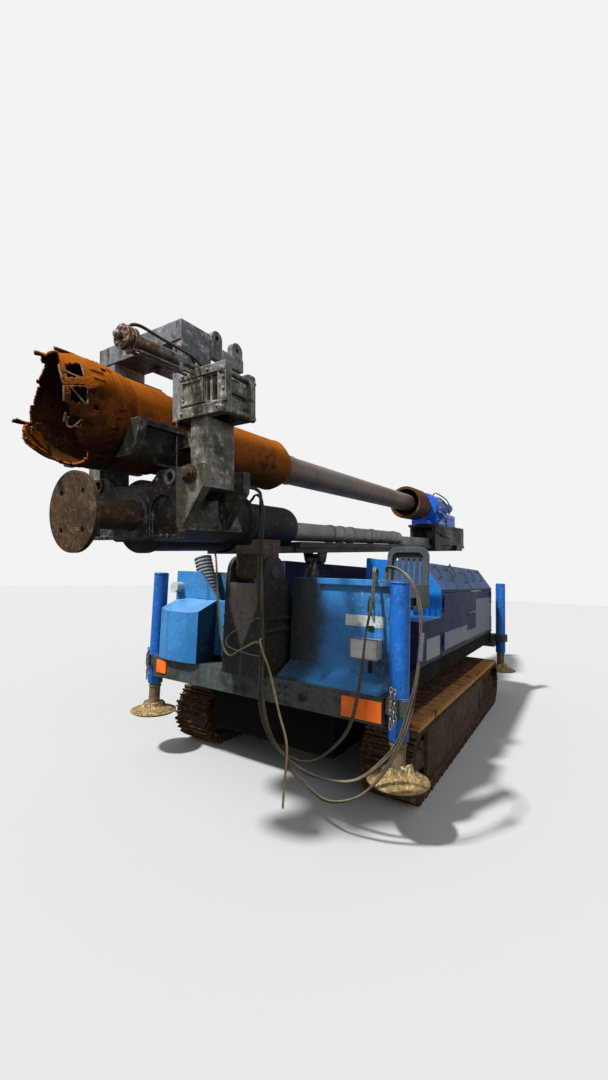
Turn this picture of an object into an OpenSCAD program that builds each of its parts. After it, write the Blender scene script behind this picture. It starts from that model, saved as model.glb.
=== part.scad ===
// Rotary piling rig on tracks, with a horizontal mast carried on a front kingpost.
// Millimetres, +X towards the drilling end, +Y to the machine's left, +Z up.

/* [Undercarriage] */
// Outer face of the tracks from the middle of the machine
track_outer_y = 1200; // [1150:10:1300]
// Width of a track shoe
shoe_w = 400; // [300:10:450]
// Height of a track over its shoes
track_h = 600; // [560:10:640]
// Front end of the tracks
track_front_x = -260; // [-300:10:-250]
// Rear end of the tracks
track_rear_x = -4150; // [-4170:10:-4000]
// Pitch of the track shoes
shoe_pitch = 155; // [150:1:200]
// Height of the shoe ribs
rib_h = 26; // [15:1:35]
// Thickness of the shoe plate and link together
belt_t = 62; // [50:1:70]

/* [Chassis] */
// Underside of the deck frame
deck_z0 = 800; // [780:5:820]
// Top of the deck frame
deck_z1 = 950; // [930:5:980]
// Half width of the deck frame
deck_y = 1080; // [1000:5:1090]
// Front and rear crossbeams, half length along the machine
beam_half = 90; // [70:5:100]
// Underside of the crossbeams
beam_z0 = 715; // [700:5:730]
// Top of the crossbeams
beam_z1 = 900; // [880:5:920]

/* [Stabilisers] */
// Sideways place of the stabiliser tubes
stab_y = 1200; // [1195:5:1230]
// Rear stabilisers along the machine
stab_rear_x = -4430; // [-4460:5:-4410]
// Outer radius of a stabiliser tube
stab_r = 67; // [60:1:72]
// Radius of the leg inside the tube
leg_r = 50; // [40:1:52]
// Top of the stabiliser tubes
stab_top = 1660; // [1600:10:1700]
// Lower end of the stabiliser tubes
stab_low = 800; // [780:10:830]
// Underside of the pads as parked
pad_z = 365; // [340:5:420]
// Radius of a pad
pad_r = 205; // [180:5:210]

/* [Bodywork] */
// Side plane of the hood and boxes
body_y = 1090; // [1085:1:1095]
// Inner side of the hoods beside the mast
hood_in_y = 300; // [280:5:340]
// Front end of the engine hood
hood_front_x = -1450; // [-1480:10:-1440]
// Rear end of the hoods
hood_rear_x = -4300; // [-4310:10:-4200]
// Height of the shoulder line
shoulder_z = 1590; // [1560:5:1620]
// Roof height at the side edge
roof_edge_z = 1860; // [1840:5:1870]
// Roof height at the inner side
roof_z = 1890; // [1880:5:1895]
// Sideways place of the roof's side edge
roof_edge_y = 900; // [860:5:940]
// Thickness of the hood's walls and doors
panel_t = 35; // [25:1:40]
// Gap round each door and lid
door_gap = 6; // [5:1:10]

/* [Front boxes] */
// Front plane of the left box
left_box_x = -95; // [-99:1:-92]
// Inner side of the left box
left_box_in_y = 262; // [250:2:280]
// Top of the left box
left_box_z = 1670; // [1640:5:1680]
// Depth of the left box
left_box_d = 450; // [400:10:500]

/* [Kingpost] */
// Front face of the kingpost
king_x = 200; // [190:5:205]
// Half width of the kingpost over its cheeks
king_y = 190; // [180:5:200]
// Rear edge of the kingpost cheeks
king_rear_x = -230; // [-240:5:-220]
// Top of the kingpost's front plate
king_plate_z = 1610; // [1580:5:1615]
// Thickness of the kingpost plates
king_t = 40; // [30:1:42]

/* [Mast] */
// Pivot of the mast along the machine
pivot_x = 60; // [50:2:66]
// Height of the mast pivot
pivot_z = 1700; // [1690:2:1710]
// Nose down angle of the parked mast
mast_pitch = 4; // [3.8:0.05:4.1]
// Radius of the mast pivot pin
pivot_pin_r = 45; // [35:1:50]
// Height of the mast tubes over the pivot
tube_h = 380; // [375:1:390]
// Outer radius of the sleeve tube
sleeve_r = 220; // [210:1:222]
// Rear end of the sleeve tube
sleeve_s0 = 250; // [240:2:262]
// Front end of the sleeve tube
sleeve_s1 = 1110; // [1104:1:1116]
// Radius of the rear mast tube
rear_tube_r = 170; // [160:1:175]
// Rounded end of the rear mast tube
rear_tube_s = -465; // [-480:5:-450]
// Underside of the mast beam over the pivot
rail_h0 = 150; // [148:1:156]
// Top of the mast beam
rail_h1 = 250; // [246:1:256]
// Half width of the beam's top flange
rail_y = 160; // [150:1:165]
// Rear end of the mast beam
rail_rear_s = -6900; // [-7000:20:-6800]

/* [Drilling tool] */
// Height of the drilling axis over the pivot
drill_h = 900; // [895:1:910]
// Outer radius of the casing's front part
casing_r = 262; // [255:1:264]
// Outer radius of the casing's rear part
rear_casing_r = 207; // [200:1:212]
// Wall of the casing
casing_wall = 16; // [12:1:20]
// Rear end of the casing's straight part
casing_s0 = -170; // [-190:5:-160]
// Front end of the casing
casing_s1 = 1330; // [1320:5:1340]
// Tip of the crown's teeth
crown_s = 1650; // [1630:5:1670]
// Outer radius of the crown
crown_r = 284; // [278:1:288]
// Tip of the torn tongue of the crown's wall
flap_s = 1690; // [1680:5:1694]
// Radius of the drill rod
rod_r = 125; // [110:1:130]
// Front face of the drive's bell
bell_s = -3640; // [-3660:5:-3620]
// Outer radius of the bell
bell_r = 245; // [230:1:250]
// Front face of the rotary drive
drive_s = -4520; // [-4540:5:-4510]
// Rear end of the rotary drive
drive_rear_s = -6500; // [-6520:5:-6480]

/* [Clamp] */
// Middle of the clamp frame along the mast
clamp_s = 985; // [980:1:990]
// Length of the clamp frame along the mast
clamp_len = 230; // [224:2:236]
// Half width of the opening in the clamp frame
clamp_in = 272; // [268:1:276]
// Thickness of the clamp frame's columns
column_t = 68; // [60:1:72]
// Inner face of the clamp arms
arm_y0 = 420; // [416:1:424]
// Outer face of the clamp arms
arm_y1 = 540; // [530:2:550]
// Outer face of the clamp's housings
housing_y = 690; // [680:2:700]
// Height of the clamp frame's top over the drilling axis
clamp_top = 590; // [570:5:600]
// Height of the clamp housings over the drilling axis
housing_top = 265; // [258:1:268]
// Radius of the long cylinder over the near housing
cyl_r = 36; // [32:1:40]

/* [Motion] */
// Gap beside pins and in running fits
run_gap = 5; // [4:0.5:6]
// Gap between seated pieces
seat_gap = 0.3; // [0.2:0.05:0.4]

/* [Hidden] */
$fn = 48;

tilt_c = cos(mast_pitch);
tilt_s = sin(mast_pitch);
flap_t = 20;
flap_half = 90;
flap_turn = 125;
flap_h = flap_half * sin(flap_turn) + sqrt(pow(crown_r - flap_t, 2) - pow(flap_half, 2)) * cos(flap_turn);
front_reach = pivot_x + flap_s * tilt_c + (drill_h + flap_h) * tilt_s;
rear_reach = pivot_x + rail_rear_s * tilt_c + rail_h0 * tilt_s;
origin_x = (front_reach + rear_reach) / 2;
deck_front_x = -beam_half - seat_gap;
deck_rear_x = stab_rear_x + beam_half + seat_gap;

steel_blue = [0.07, 0.27, 0.62];
dark_steel = [0.14, 0.13, 0.13];
grey_steel = [0.33, 0.34, 0.35];
pale_grey = [0.66, 0.68, 0.68];
rust = [0.62, 0.29, 0.1];
dull_rust = [0.4, 0.27, 0.2];
brown_steel = [0.42, 0.36, 0.33];

// Lengths along the machine are measured from the front stabilisers, and every piece is moved here.
module at_origin() {
    translate([-origin_x, 0, 0])
        children();
}

// The mast's own frame: X along the mast, Z square to it, from the pivot.
module on_mast() {
    at_origin()
        translate([pivot_x, 0, pivot_z])
            rotate([0, mast_pitch, 0])
                children();
}

// A block from its low and high corners.
module block(low, high) {
    translate(low)
        cube(high - low);
}

// A round bar along X, Y or Z.
module bar_x(r, x0, x1, y = 0, z = 0) {
    translate([x0, y, z])
        rotate([0, 90, 0])
            cylinder(r = r, h = x1 - x0);
}
module bar_y(r, y0, y1, x = 0, z = 0) {
    translate([x, y1, z])
        rotate([90, 0, 0])
            cylinder(r = r, h = y1 - y0);
}
module bar_z(r, z0, z1, x = 0, y = 0) {
    translate([x, y, z0])
        cylinder(r = r, h = z1 - z0);
}

// An outline in X and Z, carried along Y, and one in Y and Z, carried along X.
module side_form(points, y0, y1) {
    translate([0, y1, 0])
        rotate([90, 0, 0])
            linear_extrude(y1 - y0)
                polygon(points);
}
module front_form(points, x0, x1) {
    translate([x0, 0, 0])
        rotate([90, 0, 90])
            linear_extrude(x1 - x0)
                polygon(points);
}

// A turned form about the X axis: its outline gives radius and place along X.
module turned_x(points) {
    rotate([0, 90, 0])
        rotate_extrude()
            polygon([for (p = points) [p[1], p[0]]]);
}

// Both sides of the machine.
module both_sides() {
    children();
    mirror([0, 1, 0])
        children();
}

// Undercarriage

wheel_r = track_h / 2 - belt_t - rib_h;
track_in_y = track_outer_y - shoe_w;
track_mid_y = track_outer_y - shoe_w / 2;
front_wheel_x = track_front_x - track_h / 2;
rear_wheel_x = track_rear_x + track_h / 2;
straight = front_wheel_x - rear_wheel_x;
belt_r = track_h / 2 - rib_h;
loop_len = 2 * straight + 2 * PI * belt_r;
shoe_count = floor(loop_len / shoe_pitch);

// Point on the loop at a distance along it, raised over the belt by lift.
function loop_point(d, lift) =
    d < straight ? [rear_wheel_x + d, track_h / 2 + belt_r + lift]
    : d < straight + PI * belt_r
        ? let (a = 90 - (d - straight) / belt_r * 180 / PI)
          [front_wheel_x + (belt_r + lift) * cos(a), track_h / 2 + (belt_r + lift) * sin(a)]
    : d < 2 * straight + PI * belt_r
        ? [front_wheel_x - (d - straight - PI * belt_r), track_h / 2 - belt_r - lift]
    : let (a = 270 - (d - 2 * straight - PI * belt_r) / belt_r * 180 / PI)
      [rear_wheel_x + (belt_r + lift) * cos(a), track_h / 2 + (belt_r + lift) * sin(a)];

// One shoe's outline: [share of the pitch, share of the rib's height].
shoe_steps = [[0.04, -0.5], [0.1, 0], [0.1, 1], [0.22, 1], [0.28, 0], [0.94, 0], [0.98, -0.5]];

module track_loop() {
    pitch = loop_len / shoe_count;
    outline = [for (i = [0 : shoe_count - 1]) for (p = shoe_steps)
        loop_point((i + p[0]) * pitch, p[1] * rib_h)];
    difference() {
        side_form(outline, track_in_y, track_outer_y);
        translate([0, track_outer_y + 1, 0])
            rotate([90, 0, 0])
                linear_extrude(shoe_w + 2)
                    loop_hole(wheel_r);
    }
}

// Outline of the space inside the belt.
module loop_hole(r) {
    translate([rear_wheel_x, track_h / 2])
        circle(r = r);
    translate([front_wheel_x, track_h / 2])
        circle(r = r);
    translate([rear_wheel_x, track_h / 2 - r])
        square([straight, 2 * r]);
}

module track_left() {
    color(dull_rust)
        at_origin()
            track_loop();
}

module track_right() {
    color(dull_rust)
        at_origin()
            mirror([0, 1, 0])
                track_loop();
}

roller_count = 6;
roller_r = 75;
roller_z = track_h / 2 - wheel_r + roller_r + seat_gap;
frame_y0 = track_in_y + 60;
frame_y1 = track_outer_y - 60;
side_plate_y = track_outer_y - 26;
side_plate_in = 205;
belt_low = track_h / 2 - wheel_r + 12;

module track_frame() {
    wheel_w = frame_y1 - frame_y0 - 60;
    difference() {
        union() {
            side_form([
                [rear_wheel_x + 120, 190], [front_wheel_x - 120, 190], [front_wheel_x - 120, 360],
                [front_wheel_x - 400, 430], [rear_wheel_x + 400, 430], [rear_wheel_x + 120, 360]
            ], frame_y0, frame_y1);
            for (x = [rear_wheel_x, front_wheel_x])
                block([x - 130, frame_y0, 260], [x + 130, frame_y1, 340]);
        }
        for (x = [rear_wheel_x, front_wheel_x])
            bar_y(wheel_r - 10, track_mid_y - wheel_w / 2 - 8, track_mid_y + wheel_w / 2 + 8, x, track_h / 2);
        for (i = [0 : roller_count - 1])
            bar_y(roller_r + 12, track_mid_y - wheel_w / 2 - 8, track_mid_y + wheel_w / 2 + 8,
                rear_wheel_x + 330 + i * (straight - 660) / (roller_count - 1), roller_z);
    }
    block([rear_wheel_x + side_plate_in, frame_y1 - 1, belt_low], [front_wheel_x - side_plate_in, side_plate_y,
        track_h - belt_low]);
    for (x = [rear_wheel_x + side_plate_in : 130 : rear_wheel_x + side_plate_in + 520])
        block([x, side_plate_y - 1, belt_low + 20], [x + 22, side_plate_y + 16, track_h - belt_low - 20]);
    for (x = [rear_wheel_x, front_wheel_x]) {
        bar_y(wheel_r - seat_gap, track_mid_y - wheel_w / 2, track_mid_y + wheel_w / 2, x, track_h / 2);
        bar_y(70, frame_y0, frame_y1 + 20, x, track_h / 2);
    }
    for (i = [0 : roller_count - 1]) {
        x = rear_wheel_x + 330 + i * (straight - 660) / (roller_count - 1);
        bar_y(roller_r, track_mid_y - wheel_w / 2, track_mid_y + wheel_w / 2, x, roller_z);
        bar_y(28, frame_y0 + 5, frame_y1 - 5, x, roller_z);
    }
}

module track_frame_left() {
    color(dark_steel)
        at_origin()
            track_frame();
}

module track_frame_right() {
    color(dark_steel)
        at_origin()
            mirror([0, 1, 0])
                track_frame();
}

lift_x = -450;
lift_z = 720;
lift_ear_y = 70;
lift_ear_t = 22;
lift_r = 75;
well_x0 = -1120;
well_x1 = -260;
well_y = 150;
lower_front_x = -200;

module carbody() {
    color(steel_blue)
        at_origin() {
            difference() {
                block([deck_rear_x, -deck_y, deck_z0], [deck_front_x, deck_y, deck_z1]);
                block([well_x0, -well_y, deck_z0 - 1], [well_x1, well_y, deck_z1 + 1]);
                block([king_rear_x - seat_gap, -king_y - seat_gap, beam_z1], [0, king_y + seat_gap, deck_z1 + 1]);
            }
            difference() {
                block([-3950, -track_in_y + 180, 300], [lower_front_x, track_in_y - 180, deck_z0]);
                block([well_x0, -well_y, 560], [well_x1, well_y, deck_z0 + 1]);
            }
            both_sides()
                for (x = [-3300, -1400])
                    block([x - 180, track_in_y - 181, 280], [x + 180, frame_y0 - seat_gap, 400]);
            both_sides() {
                block([lift_x - 60, lift_ear_y, 559], [lift_x + 60, lift_ear_y + lift_ear_t, lift_z]);
                bar_y(60, lift_ear_y, lift_ear_y + lift_ear_t, lift_x, lift_z);
            }
            bar_y(28, -lift_ear_y - lift_ear_t - 10, lift_ear_y + lift_ear_t + 10, lift_x, lift_z);
        }
}

collar_r = 96;
collar_z0 = 800;

module crossbeam(x) {
    difference() {
        union() {
            block([x - beam_half, -stab_y + collar_r - 20, beam_z0], [x + beam_half, stab_y - collar_r + 20, beam_z1]);
            for (y = [-stab_y, stab_y])
                bar_z(collar_r, collar_z0, beam_z1, x, y);
        }
        for (y = [-stab_y, stab_y])
            bar_z(stab_r + seat_gap, beam_z0 - 1, beam_z1 + 1, x, y);
    }
}

module crossbeams() {
    color(steel_blue)
        at_origin() {
            crossbeam(0);
            crossbeam(stab_rear_x);
        }
}

module reflectors() {
    color([0.9, 0.35, 0.05])
        at_origin() {
            block([beam_half + seat_gap, 826, 738], [beam_half + 14, 1118, 872]);
            block([beam_half + seat_gap, -1072, 760], [beam_half + 14, -950, 872]);
        }
}

// Stabilisers

module stabiliser_tubes() {
    color(steel_blue)
        at_origin()
            for (x = [0, stab_rear_x])
                for (y = [-stab_y, stab_y])
                    difference() {
                        union() {
                            bar_z(stab_r, stab_low, stab_top, x, y);
                            bar_z(stab_r - 6, stab_top - 1, stab_top + 8, x, y);
                        }
                        bar_z(leg_r + seat_gap, stab_low - 1, stab_low + 71, x, y);
                        bar_z(leg_r + run_gap, stab_low + 70, stab_top - 40, x, y);
                    }
}

module leg(x, y) {
    at_origin()
        translate([x, y, 0]) {
            bar_z(leg_r, pad_z + 40, stab_top - 80);
            bar_z(leg_r + 7, stab_low - 205, stab_low - 189);
            rotate_extrude()
                polygon([
                    [0, pad_z], [pad_r - 12, pad_z], [pad_r, pad_z + 8], [pad_r, pad_z + 16],
                    [110, pad_z + 34], [84, pad_z + 84], [0, pad_z + 84]
                ]);
        }
}

module leg_front_left() {
    color(dull_rust)
        leg(0, stab_y);
}
module leg_front_right() {
    color(dull_rust)
        leg(0, -stab_y);
}
module leg_rear_left() {
    color(dull_rust)
        leg(stab_rear_x, stab_y);
}
module leg_rear_right() {
    color(dull_rust)
        leg(stab_rear_x, -stab_y);
}

// Bodywork

module front_box_left() {
    lip = 35;
    color(steel_blue)
        at_origin() {
            side_form([
                [left_box_x, deck_z1 + 60], [beam_half - 10, beam_z1 + 30], [beam_half - 10, beam_z1 + seat_gap],
                [-beam_half, beam_z1 + seat_gap], [-beam_half, deck_z1 + seat_gap], [left_box_x, deck_z1 + seat_gap]
            ], left_box_in_y, body_y);
            block([left_box_x - left_box_d, left_box_in_y, deck_z1 + seat_gap], [left_box_x, body_y, left_box_z]);
            block([left_box_x - left_box_d, 510, left_box_z - 45], [left_box_x + lip, body_y, left_box_z]);
        }
}

hex_x = 150;
hex_y0 = -1040;
hex_y1 = -560;
hex_front_z = 1330;
hex_rear_z = 1434;
lamp_front_x = -100;
right_hood_x = -797;
lamp_floor_z = 1420;

module front_box_right() {
    plan = [
        [-beam_half, hex_y1], [hex_x - 30, hex_y1], [hex_x, hex_y1 - 110],
        [hex_x, hex_y0 + 120], [hex_x - 40, hex_y0], [-beam_half, hex_y0]
    ];
    color(steel_blue)
        at_origin()
            intersection() {
                union() {
                    translate([0, 0, beam_z1 + seat_gap])
                        linear_extrude(hex_rear_z - beam_z1)
                            polygon(plan);
                    block([lamp_front_x + seat_gap, hex_y0, deck_z1 + seat_gap], [-beam_half + 1, hex_y1, hex_rear_z]);
                }
                side_form([
                    [lamp_front_x, beam_z0], [hex_x + 1, beam_z0], [hex_x + 1, hex_front_z], [lamp_front_x, hex_rear_z]
                ], hex_y0 - 1, hex_y1 + 1);
            }
}

module lamp_box() {
    color(steel_blue)
        at_origin()
            difference() {
                front_form([
                    [-body_y, deck_z1 + seat_gap], [-body_y, 1690], [-790, 1690], [-545, 1436],
                    [-hood_in_y, lamp_floor_z], [-hood_in_y, deck_z1 + seat_gap]
                ], right_hood_x + seat_gap, lamp_front_x);
                block([lamp_front_x - 260, -970, lamp_floor_z], [lamp_front_x - panel_t, -hood_in_y + 1, 1700]);
            }
}

module lamps() {
    color(pale_grey)
        at_origin() {
            block([left_box_x + seat_gap, 840, 1120], [left_box_x + 100, 1040, 1250]);
            bar_x(50, lamp_front_x + seat_gap, lamp_front_x + 80, -1040, 1535);
        }
}

// Ribbed duct: rings along an upright that leans outwards, cut level at its foot.
duct_x = lamp_front_x - panel_t - 100;
duct_y = -750;
duct_r = 85;
duct_lean = 20;
duct_pitch = 34;

module intake_duct() {
    color(pale_grey)
        at_origin()
            intersection() {
                translate([duct_x, duct_y, lamp_floor_z])
                    rotate([duct_lean, 0, 0])
                        rotate_extrude()
                            polygon(concat(
                                [[0, -2 * duct_pitch]],
                                [for (i = [-2 : 12]) for (p = [[0, duct_r - 12], [12, duct_r], [24, duct_r]])
                                    [p[1], i * duct_pitch + p[0]]],
                                [[0, 13 * duct_pitch]]
                            ));
                block([duct_x - 200, duct_y - 400, lamp_floor_z + seat_gap], [duct_x + 200, duct_y + 200, 2000]);
            }
}

seat_x = -900;
seat_y = 870;

module seat_box() {
    color(steel_blue)
        at_origin()
            block([hood_front_x + seat_gap, hood_in_y, deck_z1 + seat_gap], [-820, body_y, 1330]);
}

// A flat outline with rounded upper corners.
module rounded_top(width, height, r) {
    translate([-width / 2, 0])
        square([width, height - r]);
    translate([-width / 2 + r, 0])
        square([width - 2 * r, height]);
    for (x = [-width / 2 + r, width / 2 - r])
        translate([x, height - r])
            circle(r = r);
}

back_w = 390;
back_t = 46;

module seat_frame() {
    color(dark_steel)
        at_origin()
            translate([seat_x, seat_y, 0]) {
                bar_z(40, 1330 + seat_gap, 1440);
                block([-220, -200, 1430], [220, 200, 1460]);
                translate([-200, 0, 1440])
                    rotate([0, -5, 0])
                        difference() {
                            rotate([90, 0, 90])
                                linear_extrude(back_t)
                                    rounded_top(back_w, 545, 90);
                            translate([12, 0, 60])
                                rotate([90, 0, 90])
                                    linear_extrude(back_t)
                                        rounded_top(back_w - 90, 430, 60);
                            for (y = [-110 : 55 : 110])
                                block([-1, y - 9, 150], [back_t, y + 9, 440]);
                        }
                for (y = [-215, 190])
                    block([-170, y, 1459], [120, y + 25, 1640]);
            }
}

module seat_cushion() {
    color(dark_steel)
        at_origin()
            translate([seat_x, seat_y, 0])
                block([-120, -185, 1460 + seat_gap], [225, 185, 1540]);
}

stand_z = 1400;
stand_x0 = -650;
stand_x1 = left_box_x - left_box_d - 15;

module lever_stand() {
    color(dark_steel)
        at_origin() {
            block([stand_x0, 640, deck_z1 + seat_gap], [stand_x1, 1000, stand_z]);
            for (y = [690 : 60 : 960])
                bar_z(8, stand_z - 1, 1560, (stand_x0 + stand_x1) / 2, y);
        }
}

// Hood: the outline of its outer face, and the same set in by the wall.
function hood_outline(inset) = [
    [hood_in_y + inset, deck_z1 + seat_gap + inset],
    [body_y - inset, deck_z1 + seat_gap + inset],
    [body_y - inset, shoulder_z - inset * 0.3],
    [roof_edge_y - inset * 0.3, roof_edge_z - inset],
    [hood_in_y + inset, roof_z - inset]
];
door_x0 = hood_rear_x + 120;
door_x1 = hood_front_x - 60;
door_mid = (door_x0 + door_x1) / 2;
door_z0 = deck_z1 + 40;
door_z1 = shoulder_z - 25;

module hood_shell() {
    color(steel_blue) {
        at_origin()
            difference() {
                front_form(hood_outline(0), hood_rear_x, hood_front_x);
                front_form(hood_outline(panel_t), hood_rear_x + panel_t, hood_front_x - panel_t);
                block([door_x0, body_y - panel_t - 1, door_z0], [door_x1, body_y + 1, door_z1]);
                block([hood_rear_x - 1, hood_in_y + 120, 1100], [hood_rear_x + panel_t + 1, body_y - 120, 1600]);
            }
        at_origin()
            for (x = [door_x0, door_x1])
                for (z = hinge_zs)
                    for (dz = [-40 - seat_gap, hinge_h + seat_gap])
                        hinge_barrel(x, x == door_x0 ? x - 4 : x + 4, z + dz, 40);
    }
}

hinge_r = 11;
hinge_h = 90;
hinge_y = body_y + hinge_r + seat_gap;
hinge_zs = [door_z0 + 60, door_z1 - 60 - hinge_h];

// A door between two places along the machine, with its hinge barrels at hinge_x.
module door(x0, x1, hinge_x) {
    block([x0, body_y - panel_t, door_z0 + door_gap], [x1, body_y, door_z1 - door_gap]);
    for (z = hinge_zs)
        hinge_barrel(hinge_x, hinge_x < x0 ? x0 : x1, z, hinge_h);
}

// A barrel on an upright pin, with a leaf to the panel at leaf_x.
module hinge_barrel(hinge_x, leaf_x, z, h) {
    bar_z(hinge_r, z, z + h, hinge_x, hinge_y);
    block([min(hinge_x, leaf_x + (leaf_x > hinge_x ? 0 : -30)), body_y - 1, z],
        [max(hinge_x, leaf_x + (leaf_x > hinge_x ? 30 : 0)), body_y + 6, z + h]);
}

module hood_door_front() {
    color(steel_blue)
        at_origin()
            door(door_mid + door_gap / 2, door_x1 - door_gap, door_x1);
}

module hood_door_rear() {
    color(steel_blue)
        at_origin()
            door(door_x0 + door_gap, door_mid - door_gap / 2, door_x0);
}

module engine_block() {
    color(grey_steel)
        at_origin()
            block([-3600, 480, deck_z1 + panel_t + 2 * seat_gap], [-2300, 940, 1640]);
}

module tank_hood() {
    color(steel_blue)
        at_origin()
            front_form([
                [-body_y, deck_z1 + seat_gap], [-body_y, shoulder_z], [-roof_edge_y, roof_edge_z - 40],
                [-hood_in_y, roof_z - 60], [-hood_in_y, deck_z1 + seat_gap]
            ], hood_rear_x, right_hood_x);
}

module rear_grille() {
    color(dark_steel)
        at_origin() {
            for (z = [1110 : 40 : 1570])
                block([hood_rear_x + 2, hood_in_y + 120 + seat_gap, z],
                    [hood_rear_x + 22, body_y - 120 - seat_gap, z + 12]);
            for (y = [hood_in_y + 120 + seat_gap, (hood_in_y + body_y) / 2, body_y - 140 - seat_gap])
                block([hood_rear_x + 10, y, 1100 + seat_gap], [hood_rear_x + 30, y + 20, 1600 - seat_gap]);
        }
}

// Kingpost and mast rest

module kingpost() {
    cheek_r = 130;
    foot_z = beam_z1 + seat_gap;
    color(dark_steel)
        at_origin() {
            for (y = [-king_y, king_y - king_t])
                difference() {
                    union() {
                        side_form([
                            [king_rear_x, foot_z], [king_x, foot_z], [king_x, king_plate_z],
                            [pivot_x + cheek_r, pivot_z], [pivot_x - cheek_r, pivot_z], [king_rear_x, pivot_z - 260]
                        ], y, y + king_t);
                        bar_y(cheek_r, y, y + king_t, pivot_x, pivot_z);
                    }
                    bar_y(pivot_pin_r + 0.05, y - 1, y + king_t + 1, pivot_x, pivot_z);
                }
            block([king_x - king_t, -king_y + 1, foot_z], [king_x, king_y - 1, king_plate_z]);
            block([king_rear_x, -king_y + 1, foot_z], [king_x, king_y - 1, foot_z + 40]);
            for (z = [1240, 1330])
                both_sides()
                    block([king_rear_x + 60, king_y - 1, z], [king_x - 20, king_y + 26, z + 22]);
        }
}

module mast_rest() {
    color(dark_steel)
        at_origin()
            difference() {
                union() {
                    block([-3960, -180, deck_z1 + seat_gap], [-3760, 180, 2100]);
                }
                translate([pivot_x, 0, pivot_z])
                    rotate([0, mast_pitch, 0])
                        block([-5000, -300, rail_h0 - seat_gap], [0, 300, 900]);
            }
}

// Mast

saddle_s0 = -140;
saddle_y0 = 90;
saddle_y1 = king_y - king_t - run_gap;

module mast_saddle() {
    color(dark_steel)
        on_mast() {
            difference() {
                union() {
                    both_sides() {
                        side_form([[-120, -60], [60, -60], [70, 20], [70, 190], [-120, 190]], saddle_y0, saddle_y1);
                        bar_y(85, saddle_y0, saddle_y1, 0, 0);
                    }
                    block([50, -saddle_y1, -50], [70, saddle_y1, 190]);
                    block([saddle_s0, -saddle_y1, 150], [400, saddle_y1, 260]);
                }
                bar_y(pivot_pin_r + 0.05, -300, 300, 0, 0);
                bar_x(sleeve_r + seat_gap, sleeve_s0 - 1, 900, 0, tube_h);
                bar_x(rear_tube_r + seat_gap, -900, sleeve_s0, 0, tube_h);
            }
            both_sides()
                bar_y(pivot_pin_r, saddle_y0 + 10, king_y + 12, 0, 0);
        }
}

foot_r = 85;
foot_disc_r = 215;

module mast_sleeve() {
    color(dark_steel)
        on_mast()
            translate([0, 0, tube_h])
                turned_x([
                    [sleeve_s0, 0], [sleeve_s0, sleeve_r - 8], [sleeve_s0 + 8, sleeve_r], [sleeve_s0 + 50, sleeve_r],
                    [sleeve_s0 + 50, sleeve_r - 12], [sleeve_s1 - 50, sleeve_r - 12], [sleeve_s1 - 50, sleeve_r],
                    [sleeve_s1, sleeve_r], [sleeve_s1, foot_r + seat_gap], [sleeve_s0 + 500, foot_r + seat_gap],
                    [sleeve_s0 + 500, 0]
                ]);
}

module mast_rear_tube() {
    round_r = 130;
    color(dark_steel)
        on_mast()
            translate([0, 0, tube_h])
                turned_x(concat(
                    [[rear_tube_s, 0]],
                    [for (a = [0 : 15 : 90])
                        [rear_tube_s + round_r - round_r * cos(a), rear_tube_r - round_r + round_r * sin(a)]],
                    [[sleeve_s0 - seat_gap, rear_tube_r], [sleeve_s0 - seat_gap, 0]]
                ));
}

rail_front_s = rear_tube_s + 40;

module mast_beam() {
    color(dark_steel)
        on_mast()
            difference() {
                union() {
                    block([rail_rear_s, -120, rail_h0], [rail_front_s, 120, rail_h1 - 50]);
                    block([rail_rear_s, -rail_y, rail_h1 - 50], [rail_front_s, rail_y, rail_h1]);
                    both_sides()
                        difference() {
                            side_form([
                                [-1030, rail_h0 + 1], [-870, rail_h0 + 1], [-900, 60], [-1000, 60]
                            ], lift_ear_y, lift_ear_y + lift_ear_t);
                        }
                    both_sides()
                        bar_y(50, lift_ear_y, lift_ear_y + lift_ear_t, -950, 90);
                    block([rail_front_s - 1, -100, rail_h0], [saddle_s0 - seat_gap, 100, rail_h0 + 55]);
                }
                bar_x(rear_tube_r + seat_gap, rear_tube_s - 10, 100, 0, tube_h);
            }
}

feed_r = 88;
feed_s0 = -3250;
feed_collar = 8;

module feed_cylinder() {
    axis_h = rail_h1 + feed_r + feed_collar + seat_gap;
    color(pale_grey)
        on_mast() {
            bar_x(feed_r, feed_s0, rear_tube_s - seat_gap, 0, axis_h);
            for (s = [-3100, -2350, -1750, -1500, -1260])
                bar_x(feed_r + feed_collar, s, s + 50, 0, axis_h);
            block([-6200, -90, rail_h1 + seat_gap], [feed_s0 - seat_gap, 90, rail_h1 + 120]);
        }
}

module mast_head() {
    color(grey_steel)
        on_mast() {
            block([rail_rear_s, -150, rail_h1 + seat_gap], [rail_rear_s + 60, 150, 620]);
            block([rail_rear_s + 60, -150, rail_h1 + seat_gap], [rail_rear_s + 420, -120, 480]);
            block([rail_rear_s + 60, 120, rail_h1 + seat_gap], [rail_rear_s + 420, 150, 480]);
            bar_y(90, -120 + seat_gap, 120 - seat_gap, rail_rear_s + 240, 400);
        }
}

// Clamp at the front of the mast

clamp_s0 = clamp_s - clamp_len / 2;
clamp_s1 = clamp_s + clamp_len / 2;
plate_t = 40;
front_plate_s = clamp_s1 + 20;
rear_plate_s = clamp_s0 - 20 - plate_t;
arm_pin_y = (arm_y0 + arm_y1) / 2 + 10;
arm_pin_h = drill_h - 320;
arm_pin_r = 27;
ear_y = 327;
plate_foot_h = tube_h - 137;
pocket_s = front_plate_s + plate_t - 25;

// An outline given for its left half, with its mirror image added.
function both_halves(points) = concat(points, [for (i = [len(points) - 1 : -1 : 0]) [-points[i][0], points[i][1]]]);

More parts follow.
